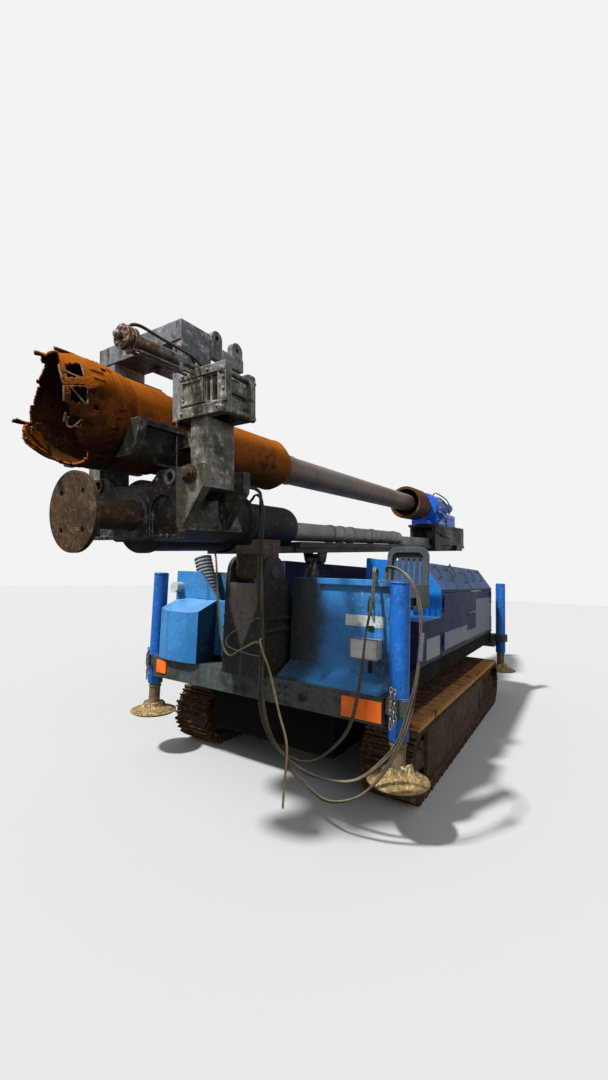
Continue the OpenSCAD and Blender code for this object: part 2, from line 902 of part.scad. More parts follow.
module clamp_base() {
    front_plate = [
        [0, drill_h - 351], [107, drill_h - 351], [165, drill_h - 345], [235, drill_h - 280], [392, drill_h - 277],
        [392, drill_h - 420], [400, drill_h - 450], [400, tube_h - 80], [389, plate_foot_h], [0, plate_foot_h]
    ];
    rear_plate = [
        [0, drill_h - 345], [165, drill_h - 345], [235, drill_h - 280], [392, drill_h - 277],
        [392, drill_h - 420], [0, drill_h - 430]
    ];
    bracket = [
        [386, drill_h - 275], [590, drill_h - 270], [586, drill_h - 390], [430, tube_h - 80],
        [391, tube_h - 80], [386, drill_h - 440]
    ];
    skirt = [
        [0, tube_h + 180], [240, tube_h + 180], [376, tube_h - 55], [376, tube_h - 88],
        [215, plate_foot_h - 13], [0, plate_foot_h - 13]
    ];
    color(dark_steel)
        on_mast()
            difference() {
                union() {
                    front_form(both_halves(front_plate), front_plate_s, front_plate_s + plate_t);
                    front_form(both_halves(rear_plate), rear_plate_s, rear_plate_s + plate_t);
                    both_sides() {
                        front_form(bracket, front_plate_s - 2, front_plate_s + plate_t + 14);
                        front_form(bracket, rear_plate_s - 14, rear_plate_s + plate_t);
                    }
                    front_form(both_halves(skirt), 620, front_plate_s + 1);
                    bar_x(foot_r + 45, front_plate_s, front_plate_s + plate_t + 12, 0, tube_h);
                }
                bar_x(sleeve_r + seat_gap, 0, sleeve_s1 + seat_gap, 0, tube_h);
                bar_x(foot_r + run_gap, 0, 1400, 0, tube_h);
                both_sides() {
                    block([pocket_s, 150, plate_foot_h + 20], [front_plate_s + plate_t + 1, 370, tube_h]);
                    bar_x(110, pocket_s, front_plate_s + plate_t + 1, 260, tube_h);
                    bar_x(26, front_plate_s - 1, front_plate_s + plate_t + 1, ear_y, arm_pin_h);
                    bar_x(arm_pin_r + seat_gap, rear_plate_s - 20, front_plate_s + plate_t + 20, arm_pin_y, arm_pin_h);
                }
            }
}

module clamp_arms() {
    color(dark_steel)
        on_mast()
            both_sides() {
                block([clamp_s0 + 10, arm_y0, drill_h - 380], [clamp_s1, arm_y1, drill_h - seat_gap]);
                bar_x(arm_pin_r, rear_plate_s - 25, front_plate_s + plate_t + 30, arm_pin_y, arm_pin_h);
            }
}

// A plate with a round ear and its hole, seen from the side of the mast.
module lug(s, h, r, foot_h) {
    difference() {
        union() {
            block([s - r, clamp_in + 28, foot_h], [s + r, clamp_in + column_t, h]);
            bar_y(r, clamp_in + 28, clamp_in + column_t, s, h);
        }
        bar_y(16, clamp_in, clamp_in + column_t + 1, s, h);
    }
}

module clamp_frame() {
    top = drill_h + clamp_top;
    under = top - 115;
    color(grey_steel)
        on_mast() {
            both_sides()
                block([clamp_s0, clamp_in, drill_h + 5], [clamp_s1, clamp_in + column_t, top]);
            block([clamp_s0, -clamp_in - column_t - 90, under], [clamp_s1, clamp_in + column_t, top]);
            front_form([[-190, under + 1], [clamp_in + 1, under + 1], [clamp_in + 1, under - 225]], clamp_s0, clamp_s0 + 30);
            block([560, clamp_in + 28, under - 15], [clamp_s0 + 1, clamp_in + column_t, top - 50]);
            lug(810, top, 46, top - 60);
            lug(620, top - 5, 52, top - 60);
        }
}

// Bars that tie the plates of a housing: [height over the drilling axis, radius].
housing_bars = [[222, 16], [22, 21]];

// One side housing of the clamp: two plates joined by bars, with the cylinder between them.
housing_h0 = drill_h;
housing_h1 = drill_h + housing_top;

module clamp_housing() {
    y0 = clamp_in + column_t + seat_gap;
    front_s = clamp_s1;
    bar_y0 = housing_y - 32;
    difference() {
        union() {
            block([clamp_s0, y0, housing_h0], [clamp_s0 + 35, housing_y, housing_h1 - 30]);
            block([clamp_s0, y0, housing_h1 - 31], [clamp_s0 + 35, housing_y - 30, housing_h1]);
            bar_x(30, clamp_s0, clamp_s0 + 35, housing_y - 30, housing_h1 - 30);
            block([front_s - 30, y0, housing_h0], [front_s, housing_y, housing_h1]);
            for (b = housing_bars)
                bar_x(b[1], clamp_s0 - 14, front_s + 16, bar_y0, drill_h + b[0]);
            for (h = [housing_h0 + 40, housing_h0 + 130])
                block([clamp_s0 + 34, housing_y - 70, h], [front_s - 29, housing_y - 40, h + 60]);
            bar_y(78, y0, housing_y - 60, clamp_s, housing_h0 + 140);
            block([front_s - 1, y0, housing_h1 - 46], [front_s + 18, housing_y, housing_h1]);
            block([front_s - 1, y0, housing_h0], [front_s + 28, housing_y - 18, housing_h0 + 56]);
            block([front_s - 1, y0 + 10, housing_h0 + 75], [front_s + 14, y0 + 180, housing_h0 + 215]);
            block([front_s - 1, housing_y - 58, housing_h0 + 55], [front_s + 16, housing_y, housing_h1 - 45]);
        }
        block([front_s + 6, y0 + 26, housing_h0 + 91], [front_s + 15, y0 + 164, housing_h0 + 199]);
        block([front_s - 31, y0 + 200, housing_h0 + 80], [front_s + 1, y0 + 225, housing_h0 + 210]);
        block([front_s - 31, y0 + 240, housing_h0 + 75], [front_s + 1, y0 + 282, housing_h0 + 215]);
    }
}

module clamp_housings() {
    color(dark_steel)
        on_mast()
            both_sides()
                clamp_housing();
}

// The long cylinder over the near housing, from the flanges at its front to the eye of its thin rod.
cyl_front_s = 1551;
cyl_y = 435;
cyl_h = drill_h + housing_top + 10;
cyl_tilt = 1.5;
cyl_len = 350;
cyl_eye = -800;

module clamp_cylinder() {
    color(grey_steel)
        on_mast() {
            translate([cyl_front_s, cyl_y, cyl_h])
                rotate([0, cyl_tilt, 0]) {
                    bar_x(cyl_r, -cyl_len, -10);
                    bar_x(cyl_r - 16, -11, 22);
                    for (x = [-22, -64])
                        bar_x(cyl_r + 22, x, x + 20);
                    bar_x(13, cyl_eye, 1 - cyl_len);
                    bar_y(26, -16, 16, cyl_eye, 0);
                    for (x = [-64, -cyl_len])
                        block([x, -32, -cyl_r - 22], [x + 18, 32, 0]);
                    for (y = [-22, 22])
                        bar_x(8, clamp_s1 - cyl_front_s + 28, -46, y, -cyl_r - 10);
                }
            for (s = [clamp_s0 + 6, clamp_s1 - 30])
                block([s, cyl_y - 22, housing_h1 + seat_gap], [s + 24, cyl_y + 22, cyl_h + 32]);
        }
}

jaw_s0 = clamp_s1 - 150;
jaw_s1 = 1400;
jaw_in = crown_r + 14;
jaw_drop = 66;

module clamp_jaws() {
    color(dark_steel)
        on_mast()
            both_sides() {
                difference() {
                    union() {
                        bar_x(jaw_in + 37, jaw_s0, jaw_s1, 0, drill_h);
                        bar_x(jaw_in + 84, jaw_s1 - 45, jaw_s1, 0, drill_h);
                    }
                    bar_x(jaw_in, jaw_s0 - 1, jaw_s1 + 1, 0, drill_h);
                    block([jaw_s0 - 1, -500, drill_h - jaw_drop], [jaw_s1 + 1, 500, drill_h + 500]);
                    block([jaw_s0 - 1, -500, drill_h - 500], [jaw_s1 + 1, 500, drill_h - 236]);
                    block([jaw_s0 - 1, -500, drill_h - 500], [jaw_s1 + 1, 150, drill_h + 500]);
                    block([jaw_s0 - 1, arm_y0 - 40, drill_h - 500], [clamp_s1 + 20, 600, drill_h]);
                }
                block([jaw_s0, jaw_in, drill_h - jaw_drop - 16], [jaw_s1, jaw_in + 76, drill_h - jaw_drop + 14]);
                block([jaw_s0 + 20, jaw_in + 12, drill_h - 150], [clamp_s1 - 10, arm_y0 - seat_gap, drill_h - 60]);
            }
}

module mast_foot() {
    disc_s = 1500;
    color(brown_steel)
        on_mast()
            difference() {
                union() {
                    bar_x(foot_r, sleeve_s0 + 520, disc_s + 1, 0, tube_h);
                    bar_x(foot_disc_r, disc_s, disc_s + 26, 0, tube_h);
                    bar_x(foot_r + 34, disc_s - 30, disc_s + 1, 0, tube_h);
                }
                for (a = [45 : 90 : 315])
                    translate([disc_s - 1, 140 * cos(a), tube_h + 140 * sin(a)])
                        rotate([0, 90, 0])
                            cylinder(r = 16, h = 30);
            }
}

// Feed carriage, rotary drive and drilling tool

floor_h = drill_h - 300;
plate_s0 = drive_s - 1930;
plate_s1 = drive_s + 70;

module feed_carriage() {
    color(dark_steel)
        on_mast() {
            block([plate_s0, -230, floor_h - 40], [plate_s1, 230, floor_h]);
            both_sides()
                block([plate_s0 + 50, 198, rail_h1 + run_gap], [plate_s1 - 50, 215, floor_h - 39]);
            both_sides()
                for (s = [plate_s0 + 50, plate_s1 - 450]) {
                    block([s, rail_y + seat_gap, rail_h1 - 85], [s + 400, 215, floor_h - 39]);
                    block([s, 130, rail_h1 - 85], [s + 400, rail_y + seat_gap + 1, rail_h1 - 50 - seat_gap]);
                }
        }
}

module rotary_drive() {
    gear_s = drive_s - 660;
    color(steel_blue)
        on_mast() {
            bar_x(235, gear_s, drive_s, 0, drill_h);
            block([gear_s + 20, -215, floor_h + seat_gap], [drive_s - 60, 215, drill_h]);
            for (y = [-110, 110])
                bar_x(85, gear_s - 600, gear_s + 10, y, drill_h + 60);
            bar_x(70, drive_rear_s, gear_s + 10, 0, drill_h - 90);
            block([gear_s - 1000, -140, floor_h + seat_gap], [gear_s - 400, 140, floor_h + 140]);
        }
}

bell_bottom_s = bell_s - 340;

module drive_bell() {
    color(rust)
        on_mast()
            translate([0, 0, drill_h])
                turned_x([
                    [drive_s + seat_gap, 0], [drive_s + seat_gap, 150], [bell_bottom_s - 200, 185],
                    [bell_bottom_s - 120, 225], [bell_bottom_s - 120, bell_r], [bell_s, bell_r],
                    [bell_s, 205], [bell_bottom_s, 205], [bell_bottom_s, 0]
                ]);
}

shoulder_s = casing_s0 - 150;

module drill_rod() {
    color(brown_steel)
        on_mast()
            translate([0, 0, drill_h])
                turned_x([
                    [bell_bottom_s + seat_gap, 0], [bell_bottom_s + seat_gap, rod_r], [shoulder_s - 150, rod_r],
                    [shoulder_s - 140, rod_r + 8], [shoulder_s - seat_gap, rod_r + 8], [shoulder_s - seat_gap, 0]
                ]);
}

casing_step_s = 560;
bore_s = 700;

module drill_casing() {
    color(rust)
        on_mast()
            translate([0, 0, drill_h])
                turned_x([
                    [shoulder_s, 0], [shoulder_s, rod_r + 15], [shoulder_s + 20, rod_r + 30],
                    [casing_s0 - 70, rear_casing_r - 22], [casing_s0 - 30, rear_casing_r - 6], [casing_s0, rear_casing_r],
                    [casing_step_s, rear_casing_r], [casing_step_s + 60, casing_r - 14], [1040, casing_r - 14],
                    [1060, casing_r], [casing_s1, casing_r], [casing_s1, casing_r - 14 - casing_wall],
                    [bore_s, casing_r - 14 - casing_wall], [bore_s, 0]
                ]);
}

// Gaps torn out of the crown's rim: [angle, width, depth].
rim_gaps = [
    [4, 40, 34], [21, 22, 22], [38, 56, 58], [57, 26, 30], [78, 48, 44], [97, 24, 26], [152, 60, 40],
    [170, 28, 58], [188, 70, 36], [208, 30, 24], [231, 52, 62], [252, 34, 30], [270, 64, 48], [291, 26, 34],
    [309, 44, 60], [327, 30, 26], [345, 50, 46]
];
// Windows through the crown's wall: [angle, width, rear edge before the tip, length].
windows = [[52, 64, 215, 80], [26, 70, 200, 60], [344, 60, 170, 70], [318, 66, 210, 76], [292, 44, 150, 50], [204, 56, 200, 60]];

module crown_bit() {
    color(rust)
        on_mast()
            translate([0, 0, drill_h])
                difference() {
                    union() {
                        turned_x([
                            [casing_s1 + seat_gap, casing_r - 14 - casing_wall], [casing_s1 + seat_gap, casing_r + 6],
                            [casing_s1 + 60, crown_r - 8], [crown_s, crown_r], [crown_s, crown_r - 34]
                        ]);
                        intersection() {
                            turned_x([
                                [crown_s - 60, crown_r - flap_t], [crown_s - 60, crown_r - 2],
                                [flap_s, crown_r], [flap_s, crown_r - flap_t]
                            ]);
                            rotate([flap_turn, 0, 0])
                                block([crown_s - 80, -flap_half, 0], [flap_s + 1, flap_half, crown_r + 20]);
                        }
                    }
                    for (g = rim_gaps)
                        rotate([g[0], 0, 0])
                            block([crown_s - g[2], -g[1] / 2, 150], [crown_s + 1, g[1] / 2, 320]);
                    for (w = windows)
                        rotate([w[0], 0, 0])
                            block([crown_s - w[2], -w[1] / 2, 150], [crown_s - w[2] + w[3], w[1] / 2, 320]);
                }
}

// Lift cylinder between the carbody and the mast beam

eye_s = -950;
eye_h = 90;
eye_x = pivot_x + eye_s * tilt_c + eye_h * tilt_s;
eye_z = pivot_z - eye_s * tilt_s + eye_h * tilt_c;
lift_len = sqrt(pow(eye_x - lift_x, 2) + pow(eye_z - lift_z, 2));
lift_angle = atan2(eye_x - lift_x, eye_z - lift_z);

module on_lift() {
    at_origin()
        translate([lift_x, 0, lift_z])
            rotate([0, lift_angle, 0])
                children();
}

module lift_barrel() {
    color(dark_steel)
        on_lift()
            difference() {
                union() {
                    bar_y(50, -lift_ear_y + run_gap, lift_ear_y - run_gap, 0, 0);
                    bar_z(52, 20, 86);
                    bar_z(lift_r, 85, lift_len - 130);
                }
                bar_y(28.05, -200, 200, 0, 0);
                bar_z(40 + 1, 150, lift_len);
            }
}

module lift_rod() {
    color(pale_grey)
        on_lift()
            difference() {
                union() {
                    bar_z(40, 170, lift_len - 40);
                    bar_y(50, -lift_ear_y + run_gap, lift_ear_y - run_gap, 0, lift_len);
                }
                bar_y(28, -200, 200, 0, lift_len);
            }
}

// Hoses and ropes that hang in front of the machine: points along each one, with its radius.
hose_r = 13;
rope_r = 9;
hoses = [
    [[360, 0, 2282.5], [360, 0, 2312], [352, 60, 2335], [345, 150, 2325], [345, 215, 2300], [342, 240, 2250],
        [345, 245, 2100], [343, 242, 1950], [340, 240, 1790], [310, 240, 1460], [270, 240, 1130], [260, 240, 840],
        [250, 270, 650], [250, 390, 470], [250, 570, 430], [250, 730, 470], [230, 890, 620], [200, 960, 770],
        [150, 990, 1030], [90, 990, 1280], [40, 1000, 1460], [0, 1000, 1580], [-25, 995, 1660],
        [-50, 985, 1725], [-100, 972, 1755], [-150, 965, 1740], [-170, 960, 1705], [-170, 960, left_box_z + seat_gap]],
    [[360, 156.5, 2216.5], [360, 177, 2237], [372, 215, 2262], [374, 262, 2240], [362, 280, 2150],
        [355, 280, 2050], [345, 275, 1790], [318, 275, 1460], [284, 275, 1130], [276, 290, 780], [280, 370, 560],
        [285, 490, 450], [275, 640, 385], [262, 820, 370], [260, 1020, 420], [260, 1190, 570], [250, 1290, 710],
        [240, 1340, 880], [200, 1380, 1110], [160, 1390, 1360], [120, 1370, 1520], [100, 1320, 1640],
        [50, 1250, 1715], [-40, 1150, 1755], [-95, 1070, 1760], [-120, 1050, 1735], [-120, 1050, 1705],
        [-120, 1050, left_box_z + seat_gap]],
    [[282, 530, 432], [292, 560, 385], [290, 610, 345], [280, 720, 280], [280, 830, 250], [280, 970, 290],
        [285, 1100, 380], [295, 1230, 550], [290, 1320, 730], [275, 1365, 880], [235, 1400, 1110], [195, 1410, 1360]]
];
ropes = [
    [[306.2, 275, 1215], [322, 275, 1215], [328, 282, 1190], [320, 305, 1120], [304, 360, 990], [302, 450, 730], [312, 530, 530],
        [312, 520, 260], [304, 510, 120]],
    [[386, -221.5, 2058], [386, -238, 2055], [378, -246, 2010], [350, -248, 1930], [310, -250, 1870],
        [270, -250, 1820], [270, -220, 1630], [270, -200, 1470], [280, -130, 1160], [280, -50, 1060],
        [288, 60, 1110], [279, 190, 1181], [279, 226.6, 1181]]
];

// A tube along points, eight sided, as one closed form.
module cord(points, r) {
    sides = 8;
    last = len(points) - 1;
    rings = [for (i = [0 : last])
        let (
            ahead = points[min(i + 1, last)] - points[max(i - 1, 0)],
            along = ahead / norm(ahead),
            across = cross(along, [0.93, 0.2, 0.3]),
            a = across / norm(across),
            b = cross(along, a)
        )
        for (k = [0 : sides - 1])
            points[i] + r * (cos(k * 360 / sides) * a + sin(k * 360 / sides) * b)];
    polyhedron(rings, concat(
        [[for (k = [0 : sides - 1]) k]],
        [for (i = [0 : last - 1]) for (k = [0 : sides - 1])
            [i * sides + k, (i + 1) * sides + k, (i + 1) * sides + (k + 1) % sides, i * sides + (k + 1) % sides]],
        [[for (k = [sides - 1 : -1 : 0]) last * sides + k]]
    ));
}

module front_hoses() {
    color([0.3, 0.26, 0.2])
        at_origin()
            for (h = hoses)
                cord(h, hose_r);
}

module front_ropes() {
    color([0.52, 0.46, 0.36])
        at_origin()
            for (h = ropes)
                cord(h, rope_r);
}

carbody();
crossbeams();
track_frame_left();
track_frame_right();
track_left();
track_right();
stabiliser_tubes();
leg_front_left();
leg_front_right();
leg_rear_left();
leg_rear_right();
front_box_left();
front_box_right();
lamp_box();
lamps();
reflectors();
intake_duct();
seat_box();
seat_frame();
seat_cushion();
lever_stand();
hood_shell();
hood_door_front();
hood_door_rear();
engine_block();
tank_hood();
rear_grille();
kingpost();
mast_rest();
mast_saddle();
mast_sleeve();
mast_rear_tube();
mast_beam();
feed_cylinder();
mast_head();
clamp_base();
clamp_arms();
clamp_frame();
clamp_housings();
clamp_cylinder();
clamp_jaws();
mast_foot();
feed_carriage();
rotary_drive();
drive_bell();
drill_rod();
drill_casing();
crown_bit();
lift_barrel();
lift_rod();
front_hoses();
front_ropes();
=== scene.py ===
import math

import bpy
import numpy as np
from mathutils import Matrix, Vector


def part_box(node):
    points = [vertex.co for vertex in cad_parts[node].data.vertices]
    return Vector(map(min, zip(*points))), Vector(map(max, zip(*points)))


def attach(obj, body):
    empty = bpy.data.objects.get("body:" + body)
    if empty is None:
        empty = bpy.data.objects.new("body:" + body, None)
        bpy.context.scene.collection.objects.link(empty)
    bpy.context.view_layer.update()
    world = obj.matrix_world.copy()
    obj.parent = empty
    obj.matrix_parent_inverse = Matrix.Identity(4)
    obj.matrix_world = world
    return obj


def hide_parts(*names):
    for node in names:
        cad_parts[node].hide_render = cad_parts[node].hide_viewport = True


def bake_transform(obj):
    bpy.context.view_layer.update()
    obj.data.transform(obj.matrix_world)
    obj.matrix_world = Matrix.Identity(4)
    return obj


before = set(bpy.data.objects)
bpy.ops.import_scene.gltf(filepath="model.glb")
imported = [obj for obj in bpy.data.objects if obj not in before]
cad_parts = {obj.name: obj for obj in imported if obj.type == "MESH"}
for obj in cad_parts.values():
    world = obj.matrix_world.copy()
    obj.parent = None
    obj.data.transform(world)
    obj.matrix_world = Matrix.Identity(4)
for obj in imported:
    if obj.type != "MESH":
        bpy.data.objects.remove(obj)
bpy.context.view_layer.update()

bl_info = {
    "name": "Rotary piling rig",
    "version": (1, 0, 0),
    "blender": (4, 5, 0),
    "location": "3D View > Sidebar > Piling rig",
    "description": "Finishes, hoses, fittings and stage for the solids of a tracked rotary piling rig",
    "category": "Object",
}

# Places shared by all pieces, in metres in the row frame.
LEG_LOW, LEG_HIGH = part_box("leg_front_left")
FRONT_X = (LEG_LOW.x + LEG_HIGH.x) / 2      # the plane of the two front legs
PITCH = math.radians(4.0)                   # the mast's nose hangs 4 degrees
PIVOT_X, PIVOT_Z = FRONT_X + 0.06, 1.7
DRILL_H = 0.9                               # drilling axis above the pivot, square to the mast
LEG_REAR_X, LEG_Y = -4.43, 1.2              # rear legs behind the front ones, and all legs from the middle
ALONG, LEFT, UP = (1, 0, 0), (0, 1, 0), (0, 0, 1)
CENTRE = 0.001                              # radius of a turned form's small closing cap


def on_machine(points):
    """Points from the plane of the front legs, moved along X into the row frame."""
    return np.asarray(points, float) + np.array([FRONT_X, 0.0, 0.0])


def on_mast(points):
    """Points (along the mast, to the left, square to it), turned by the pitch about the mast's pivot."""
    p = np.asarray(points, float)
    c, t = math.cos(PITCH), math.sin(PITCH)
    return np.stack([PIVOT_X + p[..., 0] * c + p[..., 2] * t, p[..., 1],
                     PIVOT_Z - p[..., 0] * t + p[..., 2] * c], -1)


def around_axis(turn_deg, radius, s):
    """Points of the drilling tool: turn in degrees from the top towards the right, radius, place along the mast."""
    a = np.radians(turn_deg)
    return np.stack(np.broadcast_arrays(s, -radius * np.sin(a), DRILL_H + radius * np.cos(a)), -1)


# Colour and material tools

def linear(code):
    """A six-figure sRGB colour as linear RGBA: each part is raised by the sRGB curve."""
    parts = np.array([int(code[i:i + 2], 16) for i in (1, 3, 5)]) / 255.0
    low, high = parts / 12.92, ((parts + 0.055) / 1.055) ** 2.4
    return (*np.where(parts <= 0.04045, low, high).tolist(), 1.0)


def add(tree, kind, inputs=None, **settings):
    """One node of a kind; inputs gives a socket, by name or number, a value or another node's output."""
    made = tree.nodes.new("ShaderNode" + kind)
    for key, value in settings.items():
        setattr(made, key, value)
    for key, value in (inputs or {}).items():
        if isinstance(value, bpy.types.NodeSocket):
            tree.links.new(value, made.inputs[key])
        else:
            made.inputs[key].default_value = value
    return made


def mixed(tree, share, first, second):
    """Colour first turned to second by share."""
    return add(tree, "Mix", {0: share, 6: first, 7: second}, data_type="RGBA").outputs[2]


def ramp(tree, value, low, high, out_low=0.0, out_high=1.0):
    """value from low to high, brought smoothly to out_low to out_high and held there."""
    inputs = {0: value, 1: low, 2: high, 3: out_low, 4: out_high}
    return add(tree, "MapRange", inputs, interpolation_type="SMOOTHSTEP").outputs[0]


def times(tree, first, second, operation="MULTIPLY"):
    """Two numbers multiplied, or put through another operation."""
    return add(tree, "Math", {0: first, 1: second}, operation=operation).outputs[0]


def vector(tree, first, second, operation):
    """Two vectors put through an operation."""
    return add(tree, "VectorMath", {0: first, 1: second}, operation=operation).outputs


def axis(tree, place, number):
    """One of a vector's three parts."""
    return add(tree, "SeparateXYZ", {0: place}).outputs[number]


def cloud(tree, place, size_mm, detail=5.0, rough=0.6, stretch=(1, 1, 1)):
    """Noise whose blotches are about size_mm across, drawn out along the axes by stretch."""
    if stretch != (1, 1, 1):
        place = add(tree, "Mapping", {"Vector": place, "Scale": tuple(1 / k for k in stretch)}).outputs[0]
    inputs = {"Vector": place, "Scale": 500.0 / size_mm, "Detail": detail, "Roughness": rough}
    return add(tree, "TexNoise", inputs).outputs[0]


def inside(tree, place, low, high, soft=0.002):
    """1 inside the box from low to high in metres, 0 outside, with a soft edge."""
    middle = [(a + b) / 2 for a, b in zip(low, high)]
    half = [(b - a) / 2 for a, b in zip(low, high)]
    off = vector(tree, vector(tree, place, middle, "SUBTRACT")[0], (0, 0, 0), "ABSOLUTE")[0]
    part = add(tree, "SeparateXYZ", {0: vector(tree, off, half, "SUBTRACT")[0]}).outputs
    worst = times(tree, times(tree, part[0], part[1], "MAXIMUM"), part[2], "MAXIMUM")
    return ramp(tree, worst, soft, -soft)


def eye_only(tree):
    """1 for what the camera sees straight or through a glass, 0 for light that is thrown back."""
    ray = add(tree, "LightPath").outputs
    return times(tree, ray["Is Camera Ray"], ray["Is Transmission Ray"], "MAXIMUM")


def weathered(name, tones, numbers, chip_mm=14, grime_mm=220, wear_mm=6, speckle_mm=20, bump_size_mm=9,
              metallic=0.0, coat=0.0, dust_and_sunlit_from=0.35, areas=(), extra=None):
    """A surface that has stood outdoors: two tones in blotches, grime and streaks run down it, a tone on what faces up
    that is dust on most finishes and painted sunlight and dust on the rust and hood finishes, darker on what faces
    down, chips through to what lies below, and edges rubbed bright. areas are (low, high, colour) boxes of other paint,
    some of them painted light, extra paints over them. tones and numbers are as in the table of finishes."""
    base, second, grime, dust, chips, worn = map(linear, tones.split())
    (blotch_mm, grime_share, streaks, dust_and_sunlit_share, chip_share, wear_share, dry, wet, bump_mm, speckle,
     shine) = numbers
    made = bpy.data.materials.new(name)
    made.use_nodes = True
    tree = made.node_tree
    shader = tree.nodes["Principled BSDF"]
    coords = add(tree, "TexCoord").outputs
    place = coords["Object"]
    colour = mixed(tree, ramp(tree, cloud(tree, place, blotch_mm, 6, 0.62), 0.38, 0.62), base, second)
    for low, high, tone in areas:
        colour = mixed(tree, inside(tree, place, low, high), colour, linear(tone))
    if extra:
        colour = extra(tree, place, colour)
    fine = cloud(tree, place, bump_size_mm, 5, 0.7)
    colour = mixed(tree, ramp(tree, fine, 0.3, 0.75, 0.0, 0.22), colour, grime)
    specks = cloud(tree, place, speckle_mm, 5, 0.75)
    colour = mixed(tree, ramp(tree, specks, 0.53, 0.66, 0.0, speckle), colour, worn)
    colour = mixed(tree, ramp(tree, specks, 0.47, 0.34, 0.0, min(1.0, 1.5 * speckle)), colour, grime)
    if chip_share > 0:
        least = 0.66 - 0.25 * chip_share
        spots = ramp(tree, cloud(tree, place, chip_mm, 3, 0.55), least, least + 0.04)
        groups = ramp(tree, cloud(tree, place, chip_mm * 14, 3, 0.5), 0.5, 0.62)
        colour = mixed(tree, times(tree, spots, groups), colour, chips)
    soft = add(tree, "Bevel", {"Radius": wear_mm / 1000}, samples=4).outputs[0]
    true = add(tree, "NewGeometry").outputs["Normal"]
    turn = vector(tree, soft, true, "DOT_PRODUCT")["Value"]
    edge = times(tree, ramp(tree, turn, 0.995, 0.93), ramp(tree, fine, 0.35, 0.6))
    colour = mixed(tree, times(tree, edge, wear_share), colour, worn)
    patches = cloud(tree, place, grime_mm, 7, 0.68)
    dirt = ramp(tree, patches, 0.70 - 0.4 * grime_share, 0.86 - 0.4 * grime_share, 0.0, 0.9)
    runs = cloud(tree, place, 60, 4, 0.6, (1, 1, 14))
    runs = ramp(tree, runs, 0.62 - 0.2 * streaks, 0.72, 0.0, 0.85 * min(1, 2 * streaks))
    colour = mixed(tree, times(tree, dirt, runs, "MAXIMUM"), colour, grime)
    up = axis(tree, coords["Normal"], 2)
    # Darker on what faces down, in the grime tone.
    colour = mixed(tree, ramp(tree, up, -0.1, -0.75, 0.0, 0.7), colour, grime)
    # Dust on what faces up; on the rust finishes a bright orange and on the hood a light blue, painted sunlight on the
    # upper faces.
    dusty = times(tree, ramp(tree, up, dust_and_sunlit_from, dust_and_sunlit_from + 0.6), ramp(tree, patches, 0.25, 0.65, 0.25, 1.0))
    colour = mixed(tree, times(tree, dusty, dust_and_sunlit_share), colour, dust)
    gloss = times(tree, ramp(tree, patches, 0.3, 0.7, wet, dry), times(tree, dusty, 0.3 * dust_and_sunlit_share), "ADD")
    bump = {"Height": fine, "Distance": bump_mm / 1000, "Strength": 0.8, "Normal": soft}
    for key, output in (("Base Color", colour), ("Roughness", gloss), ("Normal", add(tree, "Bump", bump).outputs[0])):
        tree.links.new(output, shader.inputs[key])
    for key, value in (("Metallic", metallic), ("Specular IOR Level", shine), ("Coat Weight", coat),
                       ("Coat Roughness", 0.25)):
        shader.inputs[key].default_value = value
    return made


# Shapes: each function gives (points, faces)

def smooth_path(points, steps=8):
    """The cubic curve through the points whose tangent at each is half the step between its neighbours."""
    p = np.asarray(points, float)
    ext = np.vstack([2 * p[0] - p[1], p, 2 * p[-1] - p[-2]])
    t = np.linspace(0, 1, steps, endpoint=False)[None, :, None]
    a, b, c, d = (ext[i:len(p) - 1 + i, None, :] for i in range(4))
    q = 0.5 * (2 * b + (c - a) * t + (2 * a - 5 * b + 4 * c - d) * t ** 2 + (3 * b - a - 3 * c + d) * t ** 3)
    return np.vstack([q.reshape(-1, 3), p[-1]])


def gone_along(path):
    """For each point of a path the length that lies behind it."""
    return np.concatenate([[0], np.cumsum(np.linalg.norm(np.diff(path, axis=0), axis=1))])


def frames_along(path):
    """For each point of a path two directions square to it, carried along by the least turn."""
    tangent = np.gradient(path, axis=0)
    tangent /= np.linalg.norm(tangent, axis=1)[:, None]
    across = np.zeros_like(tangent)
    start = np.cross(tangent[0], [0.3, 0.9, 0.2])
    across[0] = start / np.linalg.norm(start)
    for i in range(1, len(path)):
        side = across[i - 1] - tangent[i] * (across[i - 1] @ tangent[i])
        across[i] = side / np.linalg.norm(side)
    return across, np.cross(tangent, across)


def circle(count):
    """Equal steps round a full turn."""
    return np.linspace(0, 2 * math.pi, count, endpoint=False)


def net(rows, columns):
    """The numbers of a net of points, row after row."""
    return np.arange(rows * columns).reshape(rows, columns)


def quads(k, closed=True):
    """The four-cornered faces of a net of point numbers; closed joins its last column to its first."""
    if closed:
        right = np.roll(k, -1, 1)
        return np.stack([k[:-1], right[:-1], right[1:], k[1:]], -1)
    return np.stack([k[:-1, :-1], k[:-1, 1:], k[1:, 1:], k[1:, :-1]], -1)


def flipped(faces):
    """The same faces seen from the other side, from the same first corner."""
    return faces[..., [0, 3, 2, 1]]


def swept(path, radius, sides=12, strands=0, lay=0.0):
    """A round section carried along a path: centre + r (cos a u + sin a v). With strands the radius swells that many
    times round the section, turning once in each lay of length, as a laid rope's does."""
    path = np.asarray(path, float)
    u, v = (way[:, None, :] for way in frames_along(path))
    a = circle(sides)
    r = np.broadcast_to(np.asarray(radius, float).reshape(-1, 1), (len(path), sides)).copy()
    if strands:
        r *= 1 - 0.22 * np.abs(np.sin(0.5 * strands * (a[None, :] - 2 * math.pi * gone_along(path)[:, None] / lay)))
    points = path[:, None, :] + r[..., None] * (np.cos(a)[None, :, None] * u + np.sin(a)[None, :, None] * v)
    k = net(len(path), sides)
    return points.reshape(-1, 3), quads(k).reshape(-1, 4).tolist() + [k[0][::-1].tolist(), k[-1].tolist()]


def pipe(points, radius, steps=6, sides=8):
    """A round section carried along the smooth curve through the points."""
    return swept(smooth_path(points, steps), radius, sides)


